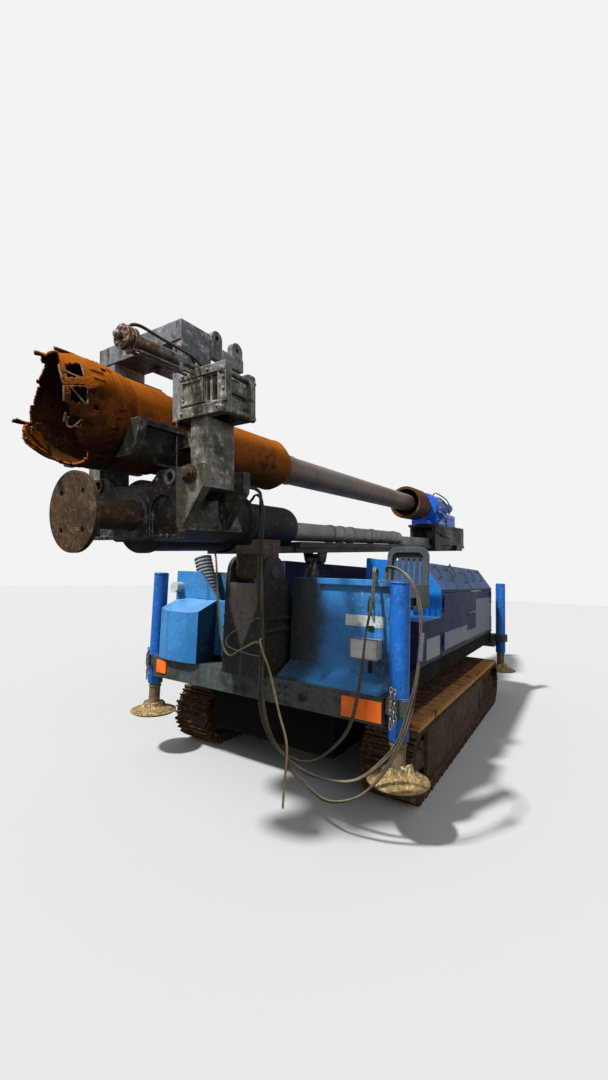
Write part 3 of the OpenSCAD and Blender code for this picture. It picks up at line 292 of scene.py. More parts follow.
def twin_hose(path, width, lay=1.7):
    """Two round hoses side by side, of half the width each, that turn about one another once in each lay of length."""
    u, v = frames_along(path)
    turn = (0.6 + 2 * math.pi * gone_along(path) / lay)[:, None]
    off = width / 4 * (np.cos(turn) * u + np.sin(turn) * v)
    return [swept(path + off, width / 4, 10), swept(path - off, width / 4, 10)]


def turned(profile, origin, axle, sides=32):
    """A profile of (along, radius) turned about an axle through origin. One that starts off the axle is closed to a
    ring, the others get a cap at each end. A profile that runs the other way round is reversed, so that faces look
    outwards."""
    pr = np.asarray(profile, float)
    if np.sum(pr[:, 0] * np.roll(pr[:, 1], -1) - np.roll(pr[:, 0], -1) * pr[:, 1]) > 0:
        pr = pr[::-1]
    w = np.asarray(axle, float) / np.linalg.norm(axle)
    u = np.cross(w, UP if abs(w[2]) < 0.9 else ALONG)
    u /= np.linalg.norm(u)
    v = np.cross(w, u)
    a = circle(sides)
    rim = np.cos(a)[:, None] * u + np.sin(a)[:, None] * v
    points = np.asarray(origin, float) + pr[:, 0, None, None] * w + pr[:, 1, None, None] * rim[None]
    k = net(len(pr), sides)
    hollow = pr[0, 1] > 2 * CENTRE
    if hollow:
        k = np.vstack([k, k[:1]])
    caps = [] if hollow else [k[0][::-1].tolist(), k[-1].tolist()]
    return points.reshape(-1, 3), quads(k).reshape(-1, 4).tolist() + caps


def ring(inner, outer, length, origin, axle, sides=32):
    """A plain ring, or a disc where inner is CENTRE."""
    return turned([[0, inner], [0, outer], [length, outer], [length, inner]], origin, axle, sides)


def boxed(low, high):
    """The eight corners of a box and its six faces."""
    a, b = np.asarray(low, float), np.asarray(high, float)
    i = np.array([[0, 0, 0], [1, 0, 0], [1, 1, 0], [0, 1, 0], [0, 0, 1], [1, 0, 1], [1, 1, 1], [0, 1, 1]])
    return a + (b - a) * i, [[3, 2, 1, 0], [4, 5, 6, 7], [0, 1, 5, 4], [1, 2, 6, 5], [2, 3, 7, 6], [3, 0, 4, 7]]


def bolt(origin, axle, size):
    """A hexagon head on a washer, pointing along the axle."""
    head = [[0.1, 0], [0.1, 0.82], [0.55, 0.82], [0.68, 0.68], [0.68, 0]]
    head = [[size * along, max(size * radius, CENTRE)] for along, radius in head]
    return [ring(CENTRE, size * 0.98, size * 0.12, origin, axle, 16), turned(head, origin, axle, 6)]


def merged(shapes):
    """Several shapes as one: their points stacked and their faces renumbered."""
    points, faces, count = [], [], 0
    for p, f in shapes:
        points.append(p)
        faces += [[i + count for i in face] for face in f]
        count += len(p)
    return np.vstack(points), faces


def piece(name, shapes, finish, body, slot, place=None, bevel=0.0, angle=40.0, replaces=()):
    """Shapes made one named mesh that rides on a body; place turns their points into the row frame."""
    points, faces = merged(shapes if isinstance(shapes, list) else [shapes])
    if place:
        points = place(points)
    mesh = bpy.data.meshes.new(name)
    mesh.from_pydata(points.tolist(), [], faces)
    mesh.polygons.foreach_set("use_smooth", np.ones(len(mesh.polygons), bool))
    mesh.update()
    mesh.set_sharp_from_angle(angle=math.radians(angle))
    made = bpy.data.objects.new(name, mesh)
    bpy.context.scene.collection.objects.link(made)
    mesh.materials.append(MATERIALS[finish])
    if bevel:
        rounded = made.modifiers.new("rounded_edges", "BEVEL")
        rounded.width, rounded.segments, rounded.limit_method = bevel, 2, "ANGLE"
    if body:
        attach(made, body)
    if replaces:
        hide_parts(*replaces)
    return made


def thickened(made, thickness, offset=-1, inner_slot=0):
    """Gives a sheet its wall; inner_slot counts the material of the other side from the first."""
    solid = made.modifiers.new("wall", "SOLIDIFY")
    solid.thickness, solid.offset, solid.material_offset = thickness, offset, inner_slot


# What paints over a finish's two tones

def hood_marks_and_sunlit_faces():
    """Light stripes and panels painted on the hood's left side, and a brighter blue on its front edge and on the seat
    box's top that is painted sunlight, in the row frame.
    """
    marks = ((-2.62, 1.05, 1.0, -1.55, 1.17, "#7f838c"), (-4.46, 1.05, 0.92, -3.15, 1.46, "#7a7e88"),
             (-3.15, 1.05, 0.96, -2.62, 1.10, "#7f838c"), (-1.42, 1.05, 0.98, -0.99, 1.165, "#8f9398"),
             # The two blue boxes are painted sunlight on the hood's front face and the seat box's top.
             (-1.47, 0.25, 1.34, -1.445, 1.95, "#1a72c4"), (-1.455, 0.25, 1.325, -0.81, 1.34, "#1f7fd0"))
    return [((FRONT_X + x0, y0, z0), (FRONT_X + x1, 1.2, z1), tone) for x0, y0, z0, x1, z1, tone in marks]


def painted_light_wedge(tree, place, colour):
    """A pale wedge of painted light, wide above and ending in a point below, on the kingpost's front."""
    width = times(tree, ramp(tree, axis(tree, place, 2), 1.05, 1.5), 0.14)
    off = times(tree, axis(tree, place, 1), 0.0, "ABSOLUTE")
    near = ramp(tree, times(tree, off, width, "SUBTRACT"), 0.02, -0.02)
    return mixed(tree, times(tree, near, 0.75), colour, linear("#77706a"))


def wavy(tree, place, number, size_mm, reach):
    """One part of a place, pushed forward by up to reach with noise."""
    return times(tree, axis(tree, place, number), times(tree, cloud(tree, place, size_mm, 5, 0.65), reach), "ADD")


def painted_mast_shadow(tree, place, colour):
    """Painted shadow of the mast: the paint turns to a dark grey towards the middle of the machine, with a ragged edge.
    """
    return mixed(tree, ramp(tree, wavy(tree, place, 1, 260, 0.35), 0.80, 0.62), colour, linear("#262a2b"))


def rusty_nose(tree, place, colour):
    """Rust at the front end of the long cylinder."""
    front = ramp(tree, wavy(tree, place, 0, 70, 0.25), FRONT_X + 1.58, FRONT_X + 1.70, 0.0, 0.85)
    return mixed(tree, front, colour, linear("#6a452a"))


def painted_shade_left_faces(tree, place, colour):
    """Painted shade: near black on what faces left, away from the key light (on the right front box, what faces the
    mast); paint elsewhere.
    """
    faces = axis(tree, add(tree, "NewGeometry").outputs["Normal"], 1)
    return mixed(tree, ramp(tree, faces, 0.3, 0.6, 0.0, 0.95), colour, linear("#12110f"))


# Boxes of other paint: the left front box's pale patch, the clamp's pale ends, and the tracks' outer edges in an orange
# tan of mud and rust brightened as painted sunlight.
PALE_PATCH = [((FRONT_X - 0.12, 0.745, 1.33), (FRONT_X + 0.02, 1.05, 1.41), "#cfd6d2")]
CLAMP_ENDS = [((FRONT_X + 1.1, y - 0.11, 1.9), (FRONT_X + 1.32, y + 0.11, 2.42), "#6d6858") for y in (-0.495, 0.495)]
TRACK_EDGES_MUD_AND_SUN = [((FRONT_X - 4.1, y - 0.07, 0.55), (FRONT_X - 0.3, y + 0.07, 0.65), "#b8834f") for y in (-1.14, 1.14)]

# Finishes, one row each. Tones: base, second, grime, dust on what faces up (painted sunlight and dust on the rust and
# hood finishes), what chips bare, worn edges. Numbers: blotches in mm; shares of grime, streaks, dust and sunlight on
# what faces up, chips and worn edges; roughness dry and wet; bumps in mm; share of speckle; specular level. Then the
# solids that wear it, and where it differs from weathered()'s own values.
FINISHES = {
    # Enamel on steel, sprayed: an even glossy blue, chalky where the sun has been at it.
    "blue_enamel": (
        "#045bb2 #0b6ac4 #142230 #6f9fd0 #3a2a20 #6c9aca",
        (500, 0.2, 0.28, 0.2, 0.3, 0.25, 0.5, 0.28, 0.6, 0.22, 0.3),
        "stabiliser_tubes", dict(chip_mm=10, speckle_mm=26, coat=0.3)),
    # The left front box carries a painted shadow of the mast on its inner part.
    "box_enamel": (
        "#2c75b5 #3a88c8 #141b22 #5f93c4 #7b93a6 #3d8bd0", (420, 0.34, 0.4, 0.3, 0.1, 0.6, 0.5, 0.25, 0.6, 0.12, 0.3),
        "front_box_left", dict(chip_mm=16, wear_mm=10, coat=0.3, areas=PALE_PATCH, extra=painted_mast_shadow)),
    # The right front box and the lamp box have their left faces painted near black as shade.
    "front_enamel": (
        "#236aa4 #3583c0 #121c26 #7fa6c8 #6b3a20 #5fa0d8",
        (360, 0.2, 0.3, 0.45, 0.18, 0.5, 0.5, 0.26, 0.6, 0.15, 0.3),
        "front_box_right lamp_box", dict(chip_mm=12, wear_mm=8, coat=0.3, extra=painted_shade_left_faces)),
    # The hood's light blue on what faces up is painted sunlight and dust on its upper faces.
    "hood_enamel": (
        "#1d2542 #272f58 #14171f #6ea0e0 #5c6a80 #7f93b5",
        (600, 0.22, 0.3, 0.6, 0.15, 0.35, 0.6, 0.42, 0.6, 0.1, 0.2),
        "hood_shell hood_door_front hood_door_rear tank_hood seat_box", dict(coat=0.05, areas=hood_marks_and_sunlit_faces())),
    # Bare plate under years of grease: nearly black, with brown dust stuck to it.
    "greasy_plate": (
        "#1b1a18 #25221e #0c0b0a #5a5040 #4a3020 #6f6f6b", (300, 0.4, 0.3, 0.3, 0.3, 0.35, 0.6, 0.28, 1.0, 0.3, 0.25),
        "mast_beam mast_rest lever_stand rear_grille feed_carriage lift_barrel"),
    # The carbody under the deck, painted near black as the shade of the deep recess below the mast and clamp.
    "under_deck_painted_shade": (
        "#070706 #0b0a09 #050504 #2c261e #140e09 #2a2926", (300, 0.4, 0.3, 0.2, 0.2, 0.2, 0.8, 0.6, 1.0, 0.15, 0.1),
        "carbody"),
    # The kingpost's front carries a painted wedge of light.
    "kingpost_plate": (
        "#222221 #2b2926 #0e0d0c #5a5040 #4a3020 #6f6d68",
        (260, 0.35, 0.35, 0.3, 0.25, 0.35, 0.55, 0.3, 0.6, 0.2, 0.25),
        "kingpost", dict(extra=painted_light_wedge)),
    "saddle_plate": (
        "#4b3a2c #3c3128 #17130f #6b5a46 #6b3f22 #86796a", (220, 0.35, 0.3, 0.3, 0.3, 0.4, 0.65, 0.4, 1.0, 0.25, 0.2),
        "mast_saddle"),
    "greased_tube": (
        "#14120f #1d1a15 #0a0908 #40382c #3c281a #5c5a55",
        (260, 0.45, 0.2, 0.25, 0.2, 0.45, 0.7, 0.45, 1.4, 0.3, 0.25),
        "mast_sleeve mast_rear_tube", dict(wear_mm=8, bump_size_mm=22)),
    "clamp_plate": (
        "#2b2824 #4a463d #0c0b09 #8a7f68 #5a3a26 #a5a298", (130, 0.42, 0.35, 0.4, 0.3, 0.7, 0.6, 0.3, 1.4, 0.4, 0.25),
        "clamp_base clamp_jaws", dict(speckle_mm=24, areas=CLAMP_ENDS)),
    # Cast steel of the clamp, rubbed down to grey with grime left in its corners.
    "clamp_casting": (
        "#5f6266 #83868a #161513 #94907f #7a5030 #d0d2d0",
        (140, 0.5, 0.6, 0.45, 0.3, 0.75, 0.58, 0.36, 1.0, 0.5, 0.35),
        "clamp_frame mast_head", dict(speckle_mm=26, metallic=0.25)),
    "arm_casting": (
        "#57544d #7f7b70 #100f0d #8f8874 #6b4a30 #cfcabc",
        (120, 0.52, 0.45, 0.45, 0.3, 0.75, 0.6, 0.32, 1.4, 0.55, 0.3),
        "clamp_arms clamp_housings clamp_cylinder", dict(speckle_mm=24, metallic=0.15, extra=rusty_nose)),
    # Chalky pale grey enamel, flaked.
    "pale_enamel": (
        "#94938d #807e78 #2f2c28 #aeaaa0 #33312d #5d5a54",
        (300, 0.35, 0.45, 0.3, 0.45, 0.5, 0.65, 0.45, 0.6, 0.4, 0.35),
        "feed_cylinder", dict(chip_mm=22)),
    # Rust of the crown's inner wall, made dark as painted shade of the inside.
    "inner_rust_painted_shade": (
        "#2a190f #3c2312 #0f0a06 #7a4414 #5a3212 #6a4428", (90, 0.45, 0.1, 0.3, 0.3, 0.4, 0.9, 0.7, 2.4, 0.3, 0.05),
        "", dict(bump_size_mm=14)),
    # Thick orange rust, hard and grainy, brown where it is old.
    # Its bright orange on what faces up is painted sunlight and dust on the upper side.
    "orange_rust": (
        "#85450c #5c310c #1c1108 #b4640e #2a190c #a8683a",
        (240, 0.4, 0.15, 0.75, 0.5, 0.4, 0.85, 0.6, 1.6, 0.25, 0.08),
        "drill_casing", dict(chip_mm=26, bump_size_mm=12, dust_and_sunlit_from=-0.05)),
    # The crown's bright orange on what faces up is painted sunlight and dust on the upper side.
    "crown_rust": (
        "#6a380e #3c200c #180e07 #b4610e #1e120a #94582e", (120, 0.46, 0.1, 0.8, 0.2, 0.5, 0.9, 0.65, 2.4, 0.3, 0.06),
        "crown_bit", dict(chip_mm=24, bump_size_mm=14, dust_and_sunlit_from=0.0)),
    "brown_pipe": (
        "#7d7268 #6b5848 #3c2d22 #978b7d #7a4220 #978b7d",
        (420, 0.3, 0.1, 0.3, 0.4, 0.4, 0.55, 0.38, 0.6, 0.15, 0.35),
        "drill_rod", dict(chip_mm=30, metallic=0.3)),
    "dark_rust": (
        "#4a3024 #573623 #1a1310 #6b4c34 #7a4220 #8d6e57",
        (220, 0.4, 0.2, 0.35, 0.4, 0.5, 0.8, 0.55, 1.4, 0.35, 0.12),
        "drive_bell"),
    # Track shoes: rolled steel, rusted, with mud dried on.
    "track_plate": (
        "#3d2c1f #30241a #17110c #6b563f #5f4028 #a07a58", (160, 0.4, 0.1, 0.45, 0.4, 0.6, 0.9, 0.7, 2.2, 0.5, 0.12),
        # The shoes' outer edges take an orange tan of mud and rust, brightened as painted sunlight.
        "track_left track_right", dict(chip_mm=24, speckle_mm=30, bump_size_mm=16, areas=TRACK_EDGES_MUD_AND_SUN)),
    "muddy_frame": (
        "#453a2e #524535 #1d1813 #7d6c54 #5f3a22 #6f6050",
        (300, 0.35, 0.35, 0.5, 0.3, 0.4, 0.85, 0.6, 1.6, 0.45, 0.12),
        "track_frame_left track_frame_right", dict(speckle_mm=34, bump_size_mm=18)),
    "beam_enamel": (
        "#3a4242 #4c504b #12110f #5f5648 #40382e #56707f",
        (380, 0.5, 0.45, 0.4, 0.35, 0.35, 0.6, 0.35, 0.6, 0.35, 0.25),
        "crossbeams", dict(speckle_mm=30)),
    "dusty_rust": (
        "#8d7a5e #6b5942 #2a2118 #86744f #6a3d20 #8f7a5a", (100, 0.4, 0.1, 0.5, 0.5, 0.5, 0.9, 0.75, 2.2, 0.4, 0.1),
        "leg_front_left leg_front_right leg_rear_left leg_rear_right", dict(chip_mm=22, bump_size_mm=14)),
    "foot_rust": (
        "#4a3b2a #382c20 #1b150f #6f5b40 #5a3d24 #857256", (90, 0.4, 0.1, 0.4, 0.5, 0.5, 0.9, 0.7, 2.0, 0.45, 0.1),
        "mast_foot", dict(chip_mm=18, speckle_mm=16, bump_size_mm=12)),
    # The drive was painted later than the rest: clean strong blue.
    "drive_enamel": (
        "#0f58c8 #1668d8 #121a34 #5f80bc #2a2f3c #8aa2dc",
        (300, 0.22, 0.15, 0.2, 0.2, 0.3, 0.45, 0.25, 0.6, 0.15, 0.35),
        "rotary_drive", dict(coat=0.4)),
    "chromed_rod": (
        "#a4a5a8 #8f9094 #3b3731 #9a8a72 #6b5a48 #c0c0c2",
        (200, 0.25, 0.0, 0.1, 0.1, 0.2, 0.3, 0.14, 0.1, 0.15, 0.35),
        "", dict(metallic=1.0)),
    # The lift cylinder's rod under a film of oil and soot.
    "sooty_rod": (
        "#2b2925 #3a362f #12110f #9a8a72 #4a4036 #8d8c88", (160, 0.4, 0.2, 0.1, 0.2, 0.4, 0.45, 0.2, 0.2, 0.15, 0.35),
        "lift_rod", dict(metallic=0.5)),
    # Polypropylene duct, ribbed, greyed by dust.
    "duct_polypropylene": (
        "#8f989c #737d82 #22231f #9a9a90 #6b3a20 #b6bbb9", (120, 0.2, 0.2, 0.35, 0, 0.55, 0.6, 0.45, 0.3, 0.15, 0.35),
        "intake_duct"),
    "seat_shell_abs": (
        "#3a3f42 #474b4e #18191a #77756f #6b3a20 #7d8183",
        (200, 0.22, 0.1, 0.35, 0, 0.5, 0.5, 0.35, 0.25, 0.15, 0.35),
        "seat_frame", dict(bump_size_mm=3)),
    # Vinyl over foam, with a fine leather grain.
    "seat_vinyl": (
        "#1d1f21 #272a2c #0f1011 #5f5b53 #6b3a20 #4a4c4e",
        (160, 0.2, 0.0, 0.35, 0, 0.4, 0.55, 0.38, 0.35, 0.15, 0.35),
        "seat_cushion", dict(bump_size_mm=2.5)),
    "lamp_glass": (
        "#c9ccc8 #b4b7b2 #77736a #9a8a72 #6b3a20 #e8eae8", (40, 0.15, 0.2, 0.2, 0, 0.4, 0.3, 0.1, 0.3, 0.15, 0.35),
        "lamps", dict(bump_size_mm=6, coat=1.0)),
    "reflector_acrylic": (
        "#ff7414 #f26a10 #7a3510 #e08040 #6b3a20 #e89060", (60, 0.1, 0.2, 0.2, 0, 0.4, 0.4, 0.2, 0.4, 0.1, 0.35),
        "reflectors", dict(bump_size_mm=5, coat=0.3)),
    # Nitrile hose, once black, under dust.
    "dusty_hose": (
        "#5c5344 #453e34 #1a1714 #a0937c #6b3a20 #6f6656", (90, 0.32, 0.0, 0.7, 0, 0.2, 0.8, 0.55, 0.3, 0.35, 0.15),
        "front_hoses", dict(speckle_mm=14, bump_size_mm=5)),
    "sisal_rope": (
        "#a8936a #8a7650 #352f24 #9c9074 #6b3a20 #b3a98c", (60, 0.28, 0.0, 0.3, 0, 0.3, 0.95, 0.85, 0.5, 0.15, 0.35),
        "front_ropes", dict(bump_size_mm=2)),
    "chain_zinc": (
        "#8f9088 #77766e #2b2823 #9a8a72 #6b4a30 #c9cac6", (60, 0.35, 0.0, 0.2, 0.3, 0.5, 0.5, 0.3, 0.2, 0.15, 0.35),
        "", dict(chip_mm=8, wear_mm=2, bump_size_mm=3, metallic=0.7)),
    "pipe_zinc": (
        "#8c97a6 #6f7a88 #2a2a2c #9a8a72 #5a4a3a #b8c0c8", (120, 0.35, 0.0, 0.2, 0.2, 0.3, 0.5, 0.3, 0.2, 0.15, 0.35),
        "", dict(chip_mm=10, wear_mm=2, bump_size_mm=3, metallic=0.4)),
    # Loose yellow-brown soil with straw in it.
    "dry_soil": (
        "#94794f #5c4a33 #33281a #a08a62 #cdb887 #d8c48e", (40, 0.4, 0.0, 0.3, 0.6, 0.2, 0.95, 0.9, 4, 0.9, 0.05),
        "", dict(chip_mm=7, grime_mm=60, speckle_mm=12)),
    "engine_iron": (
        "#4d5050 #5a5c5a #1c1b1a #9a8a72 #6b3a20 #8a8c8a", (200, 0.4, 0.3, 0.3, 0.15, 0.4, 0.6, 0.4, 0.6, 0.15, 0.35),
        "engine_block"),
}

# Routes of the hanging hoses and ropes, from the plane of the front legs, the same as in the part's source.
HOSES = {
    "hose_inner": [[0.36, 0, 2.2825], [0.36, 0, 2.312], [0.352, 0.06, 2.335], [0.345, 0.15, 2.325],
                   [0.345, 0.215, 2.3], [0.342, 0.24, 2.25], [0.345, 0.245, 2.1], [0.343, 0.242, 1.95],
                   [0.34, 0.24, 1.79], [0.31, 0.24, 1.46], [0.27, 0.24, 1.13], [0.26, 0.24, 0.84],
                   [0.25, 0.27, 0.65], [0.25, 0.39, 0.47], [0.25, 0.57, 0.43], [0.25, 0.73, 0.47],
                   [0.23, 0.89, 0.62], [0.2, 0.96, 0.77], [0.15, 0.99, 1.03], [0.09, 0.99, 1.28],
                   [0.04, 1.0, 1.46], [0, 1.0, 1.58], [-0.025, 0.995, 1.66], [-0.05, 0.985, 1.725],
                   [-0.1, 0.972, 1.755], [-0.15, 0.965, 1.74], [-0.17, 0.96, 1.705], [-0.17, 0.96, 1.6703]],
    "hose_outer": [[0.36, 0.1565, 2.2165], [0.36, 0.177, 2.237], [0.372, 0.215, 2.262], [0.374, 0.262, 2.24],
                   [0.362, 0.28, 2.15], [0.355, 0.28, 2.05], [0.345, 0.275, 1.79], [0.318, 0.275, 1.46],
                   [0.284, 0.275, 1.13], [0.276, 0.29, 0.78], [0.28, 0.37, 0.56], [0.285, 0.49, 0.45],
                   [0.275, 0.64, 0.385], [0.262, 0.82, 0.37], [0.26, 1.02, 0.42], [0.26, 1.19, 0.57],
                   [0.25, 1.29, 0.71], [0.24, 1.34, 0.88], [0.2, 1.38, 1.11], [0.16, 1.39, 1.36],
                   [0.12, 1.37, 1.52], [0.1, 1.32, 1.64], [0.05, 1.25, 1.715], [-0.04, 1.15, 1.755],
                   [-0.095, 1.07, 1.76], [-0.12, 1.05, 1.735], [-0.12, 1.05, 1.705], [-0.12, 1.05, 1.6703]],
    "hose_low": [[0.282, 0.53, 0.432], [0.292, 0.56, 0.385], [0.29, 0.61, 0.345], [0.28, 0.72, 0.28],
                 [0.28, 0.83, 0.25], [0.28, 0.97, 0.29], [0.285, 1.1, 0.38], [0.295, 1.23, 0.55],
                 [0.29, 1.32, 0.73], [0.275, 1.365, 0.88], [0.235, 1.4, 1.11], [0.195, 1.41, 1.36]],
}
ROPES = {
    "rope_near": [[0.3062, 0.275, 1.215], [0.322, 0.275, 1.215], [0.328, 0.282, 1.19], [0.32, 0.305, 1.12],
                  [0.304, 0.36, 0.99], [0.302, 0.45, 0.73], [0.312, 0.53, 0.53], [0.312, 0.52, 0.26],
                  [0.304, 0.51, 0.12]],
    "rope_far": [[0.386, -0.2215, 2.058], [0.386, -0.238, 2.055], [0.378, -0.246, 2.01], [0.35, -0.248, 1.93],
                 [0.31, -0.25, 1.87], [0.27, -0.25, 1.82], [0.27, -0.22, 1.63], [0.27, -0.2, 1.47],
                 [0.28, -0.13, 1.16], [0.28, -0.05, 1.06], [0.288, 0.06, 1.11], [0.279, 0.19, 1.181],
                 [0.279, 0.2266, 1.181]],
}
# A loop of thin wire in front of the kingpost.
WIRE = [[0.322, 0.262, 1.362], [0.315, 0.235, 1.365], [0.27, 0.16, 1.335], [0.24, 0.06, 1.29],
        [0.235, -0.03, 1.246], [0.235, -0.1, 1.2], [0.235, -0.128, 1.155], [0.235, -0.11, 1.12],
        [0.236, -0.062, 1.103], [0.24, 0.03, 1.09], [0.248, 0.12, 1.083], [0.262, 0.2, 1.083],
        [0.272, 0.234, 1.085]]


class RIG_PG_sizes(bpy.types.PropertyGroup):
    """Sizes and tones that change the look without changing the solids."""
    hose_diameter: bpy.props.FloatProperty(
        name="Hose diameter", description="Width over a pair of the hanging hoses", default=0.026, unit="LENGTH")
    rope_diameter: bpy.props.FloatProperty(
        name="Rope diameter", description="Outside diameter of the hanging ropes", default=0.018, unit="LENGTH")
    rim_thickness: bpy.props.FloatProperty(
        name="Crown wall", description="Thickness of the crown's torn wall", default=0.016, unit="LENGTH")
    floor_colour: bpy.props.FloatVectorProperty(
        name="Floor colour", description="Colour of the plain floor", subtype="COLOR", size=4,
        default=linear("#b0b0af"), min=0, max=1)


class RIG_OT_camera(bpy.types.Operator):
    """Camera at the photograph's place, level and tilt"""
    bl_idname = "rig.camera"
    bl_label = "Camera"

    def execute(self, context):
        yaw, pitch, roll = math.radians(32.24), math.radians(4.73), math.radians(1.94)
        ahead = np.array([-math.cos(yaw) * math.cos(pitch), -math.sin(yaw) * math.cos(pitch), math.sin(pitch)])
        right = np.cross(ahead, UP)
        right /= np.linalg.norm(right)
        up = np.cross(right, ahead)
        turned_right = math.cos(roll) * right + math.sin(roll) * up
        turned_up = math.cos(roll) * up - math.sin(roll) * right
        place = Matrix.Identity(4)
        for i, eye in enumerate((FRONT_X + 2.865, 2.222, 1.679)):
            place[i][:] = turned_right[i], turned_up[i], -ahead[i], eye
        data = bpy.data.cameras.new("camera")
        data.sensor_fit, data.sensor_height = "VERTICAL", 36
        data.lens = 436.9 / 1080 * 36           # focal length and height of the photograph in pixels
        view = bpy.data.objects.new("camera", data)
        context.scene.collection.objects.link(view)
        view.matrix_world = place
        context.scene.camera = view
        return {"FINISHED"}


class RIG_OT_cords(bpy.types.Operator):
    """Hoses and ropes that hang in front of the machine"""
    bl_idname = "rig.cords"
    bl_label = "Hoses and ropes"

    def execute(self, context):
        sizes = context.scene.rig_sizes
        for name, route in {**HOSES, **ROPES}.items():
            path, fitted, end = smooth_path(on_machine(route), 6), [], "object"
            if name in ROPES:
                path, width, stiffness = smooth_path(path, 4), sizes.rope_diameter, "limp"
                cord = piece(name, swept(path, width / 2, 18, 3, 0.07), "sisal_rope", None, "rope_fibre")
            else:
                width, stiffness = sizes.hose_diameter, "medium"
                cord = piece(name, twin_hose(path, width), "dusty_hose", None, "hose_rubber")
            if name == "hose_low":
                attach(cord, "chassis")
                end = "fitting"
                fitted.append(piece("hose_low_ferrule", swept(path[-5:], width * 0.66, 14), "chromed_rod", "chassis",
                                    "hose_rubber"))
            else:
                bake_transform(cord)
            if name == "rope_near":
                end = "knot"
        path = smooth_path(on_machine(WIRE), 6)
        loop = piece("wire_loop", swept(path, 0.004, 8), "pipe_zinc", None, "bright_rod")
        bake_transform(loop)
        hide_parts("front_hoses")
        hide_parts("front_ropes")
        return {"FINISHED"}


# Crown: the rim's place along the mast for each turn in degrees, how far the wall leans out at the tip, thin torn
# strips as (turn, half width, tip), and holes as (turn, half width, from, to along the mast).
CROWN_START, CROWN_END = 1.3303, 1.69
RIM = [(0, 1.652), (9, 1.655), (20, 1.646), (22, 1.612), (50, 1.605), (52, 1.592), (75, 1.60), (77, 1.614), (95, 1.61),
       (104, 1.60), (107, 1.67), (118, 1.69), (135, 1.68), (146, 1.635), (150, 1.55), (160, 1.515), (200, 1.51),
       (214, 1.54), (220, 1.60), (238, 1.655), (258, 1.675), (262, 1.69), (304, 1.69), (326, 1.675),
       (338, 1.655), (360, 1.652)]
LEAN = [(0, -0.006), (20, -0.012), (60, -0.02), (100, -0.03), (107, -0.062), (146, -0.055), (160, -0.02), (214, -0.035),
        (232, -0.07), (300, -0.072), (325, -0.03), (360, -0.006)]
STRIPS = [(12, 2.4, 1.688), (99, 2.4, 1.69), (338, 3.0, 1.675)]
HOLES = [(303, 9.5, 1.607, 1.667), (272, 9.0, 1.607, 1.667), (243, 5.5, 1.615, 1.652),
         (312, 3.5, 1.47, 1.50), (262, 2.5, 1.55, 1.575)]
# Steel hooked at the crown's mouth, each a route of (turn, radius, place along the mast).
HOOKS = [
    [(293, 0.214, 1.686), (303, 0.212, 1.688), (314, 0.222, 1.684)],
    [(262, 0.212, 1.687), (272, 0.211, 1.688), (282, 0.212, 1.686)],
    [(282, 0.226, 1.672), (274, 0.236, 1.645), (264, 0.252, 1.61)],
    [(304, 0.222, 1.672), (296, 0.240, 1.63), (293, 0.255, 1.60)],
    [(238, 0.225, 1.675), (243, 0.222, 1.676), (249, 0.222, 1.676)],
    [(314, 0.268, 1.602), (306, 0.262, 1.600), (295, 0.258, 1.602)],
    [(281, 0.262, 1.600), (272, 0.258, 1.598), (264, 0.262, 1.602)],
    [(96, 0.262, 1.55), (98, 0.272, 1.62), (100, 0.276, 1.689)],
    [(246, 0.246, 1.61), (240, 0.238, 1.62), (234, 0.226, 1.63), (232, 0.205, 1.64), (238, 0.195, 1.645),
     (244, 0.205, 1.65)]]
# Layers of the bent tongue: from and to turn, radius at its root and tip, and the tip's place along the mast.
TONGUE_ROOT = 1.56
TONGUE = [(108, 143, 0.262, 0.205, 1.675), (112, 139, 0.250, 0.186, 1.655), (116, 147, 0.268, 0.228, 1.685)]


def away(turn, centre):
    """Degrees between two turns, the short way round."""
    return np.abs((turn - centre + 180) % 360 - 180)


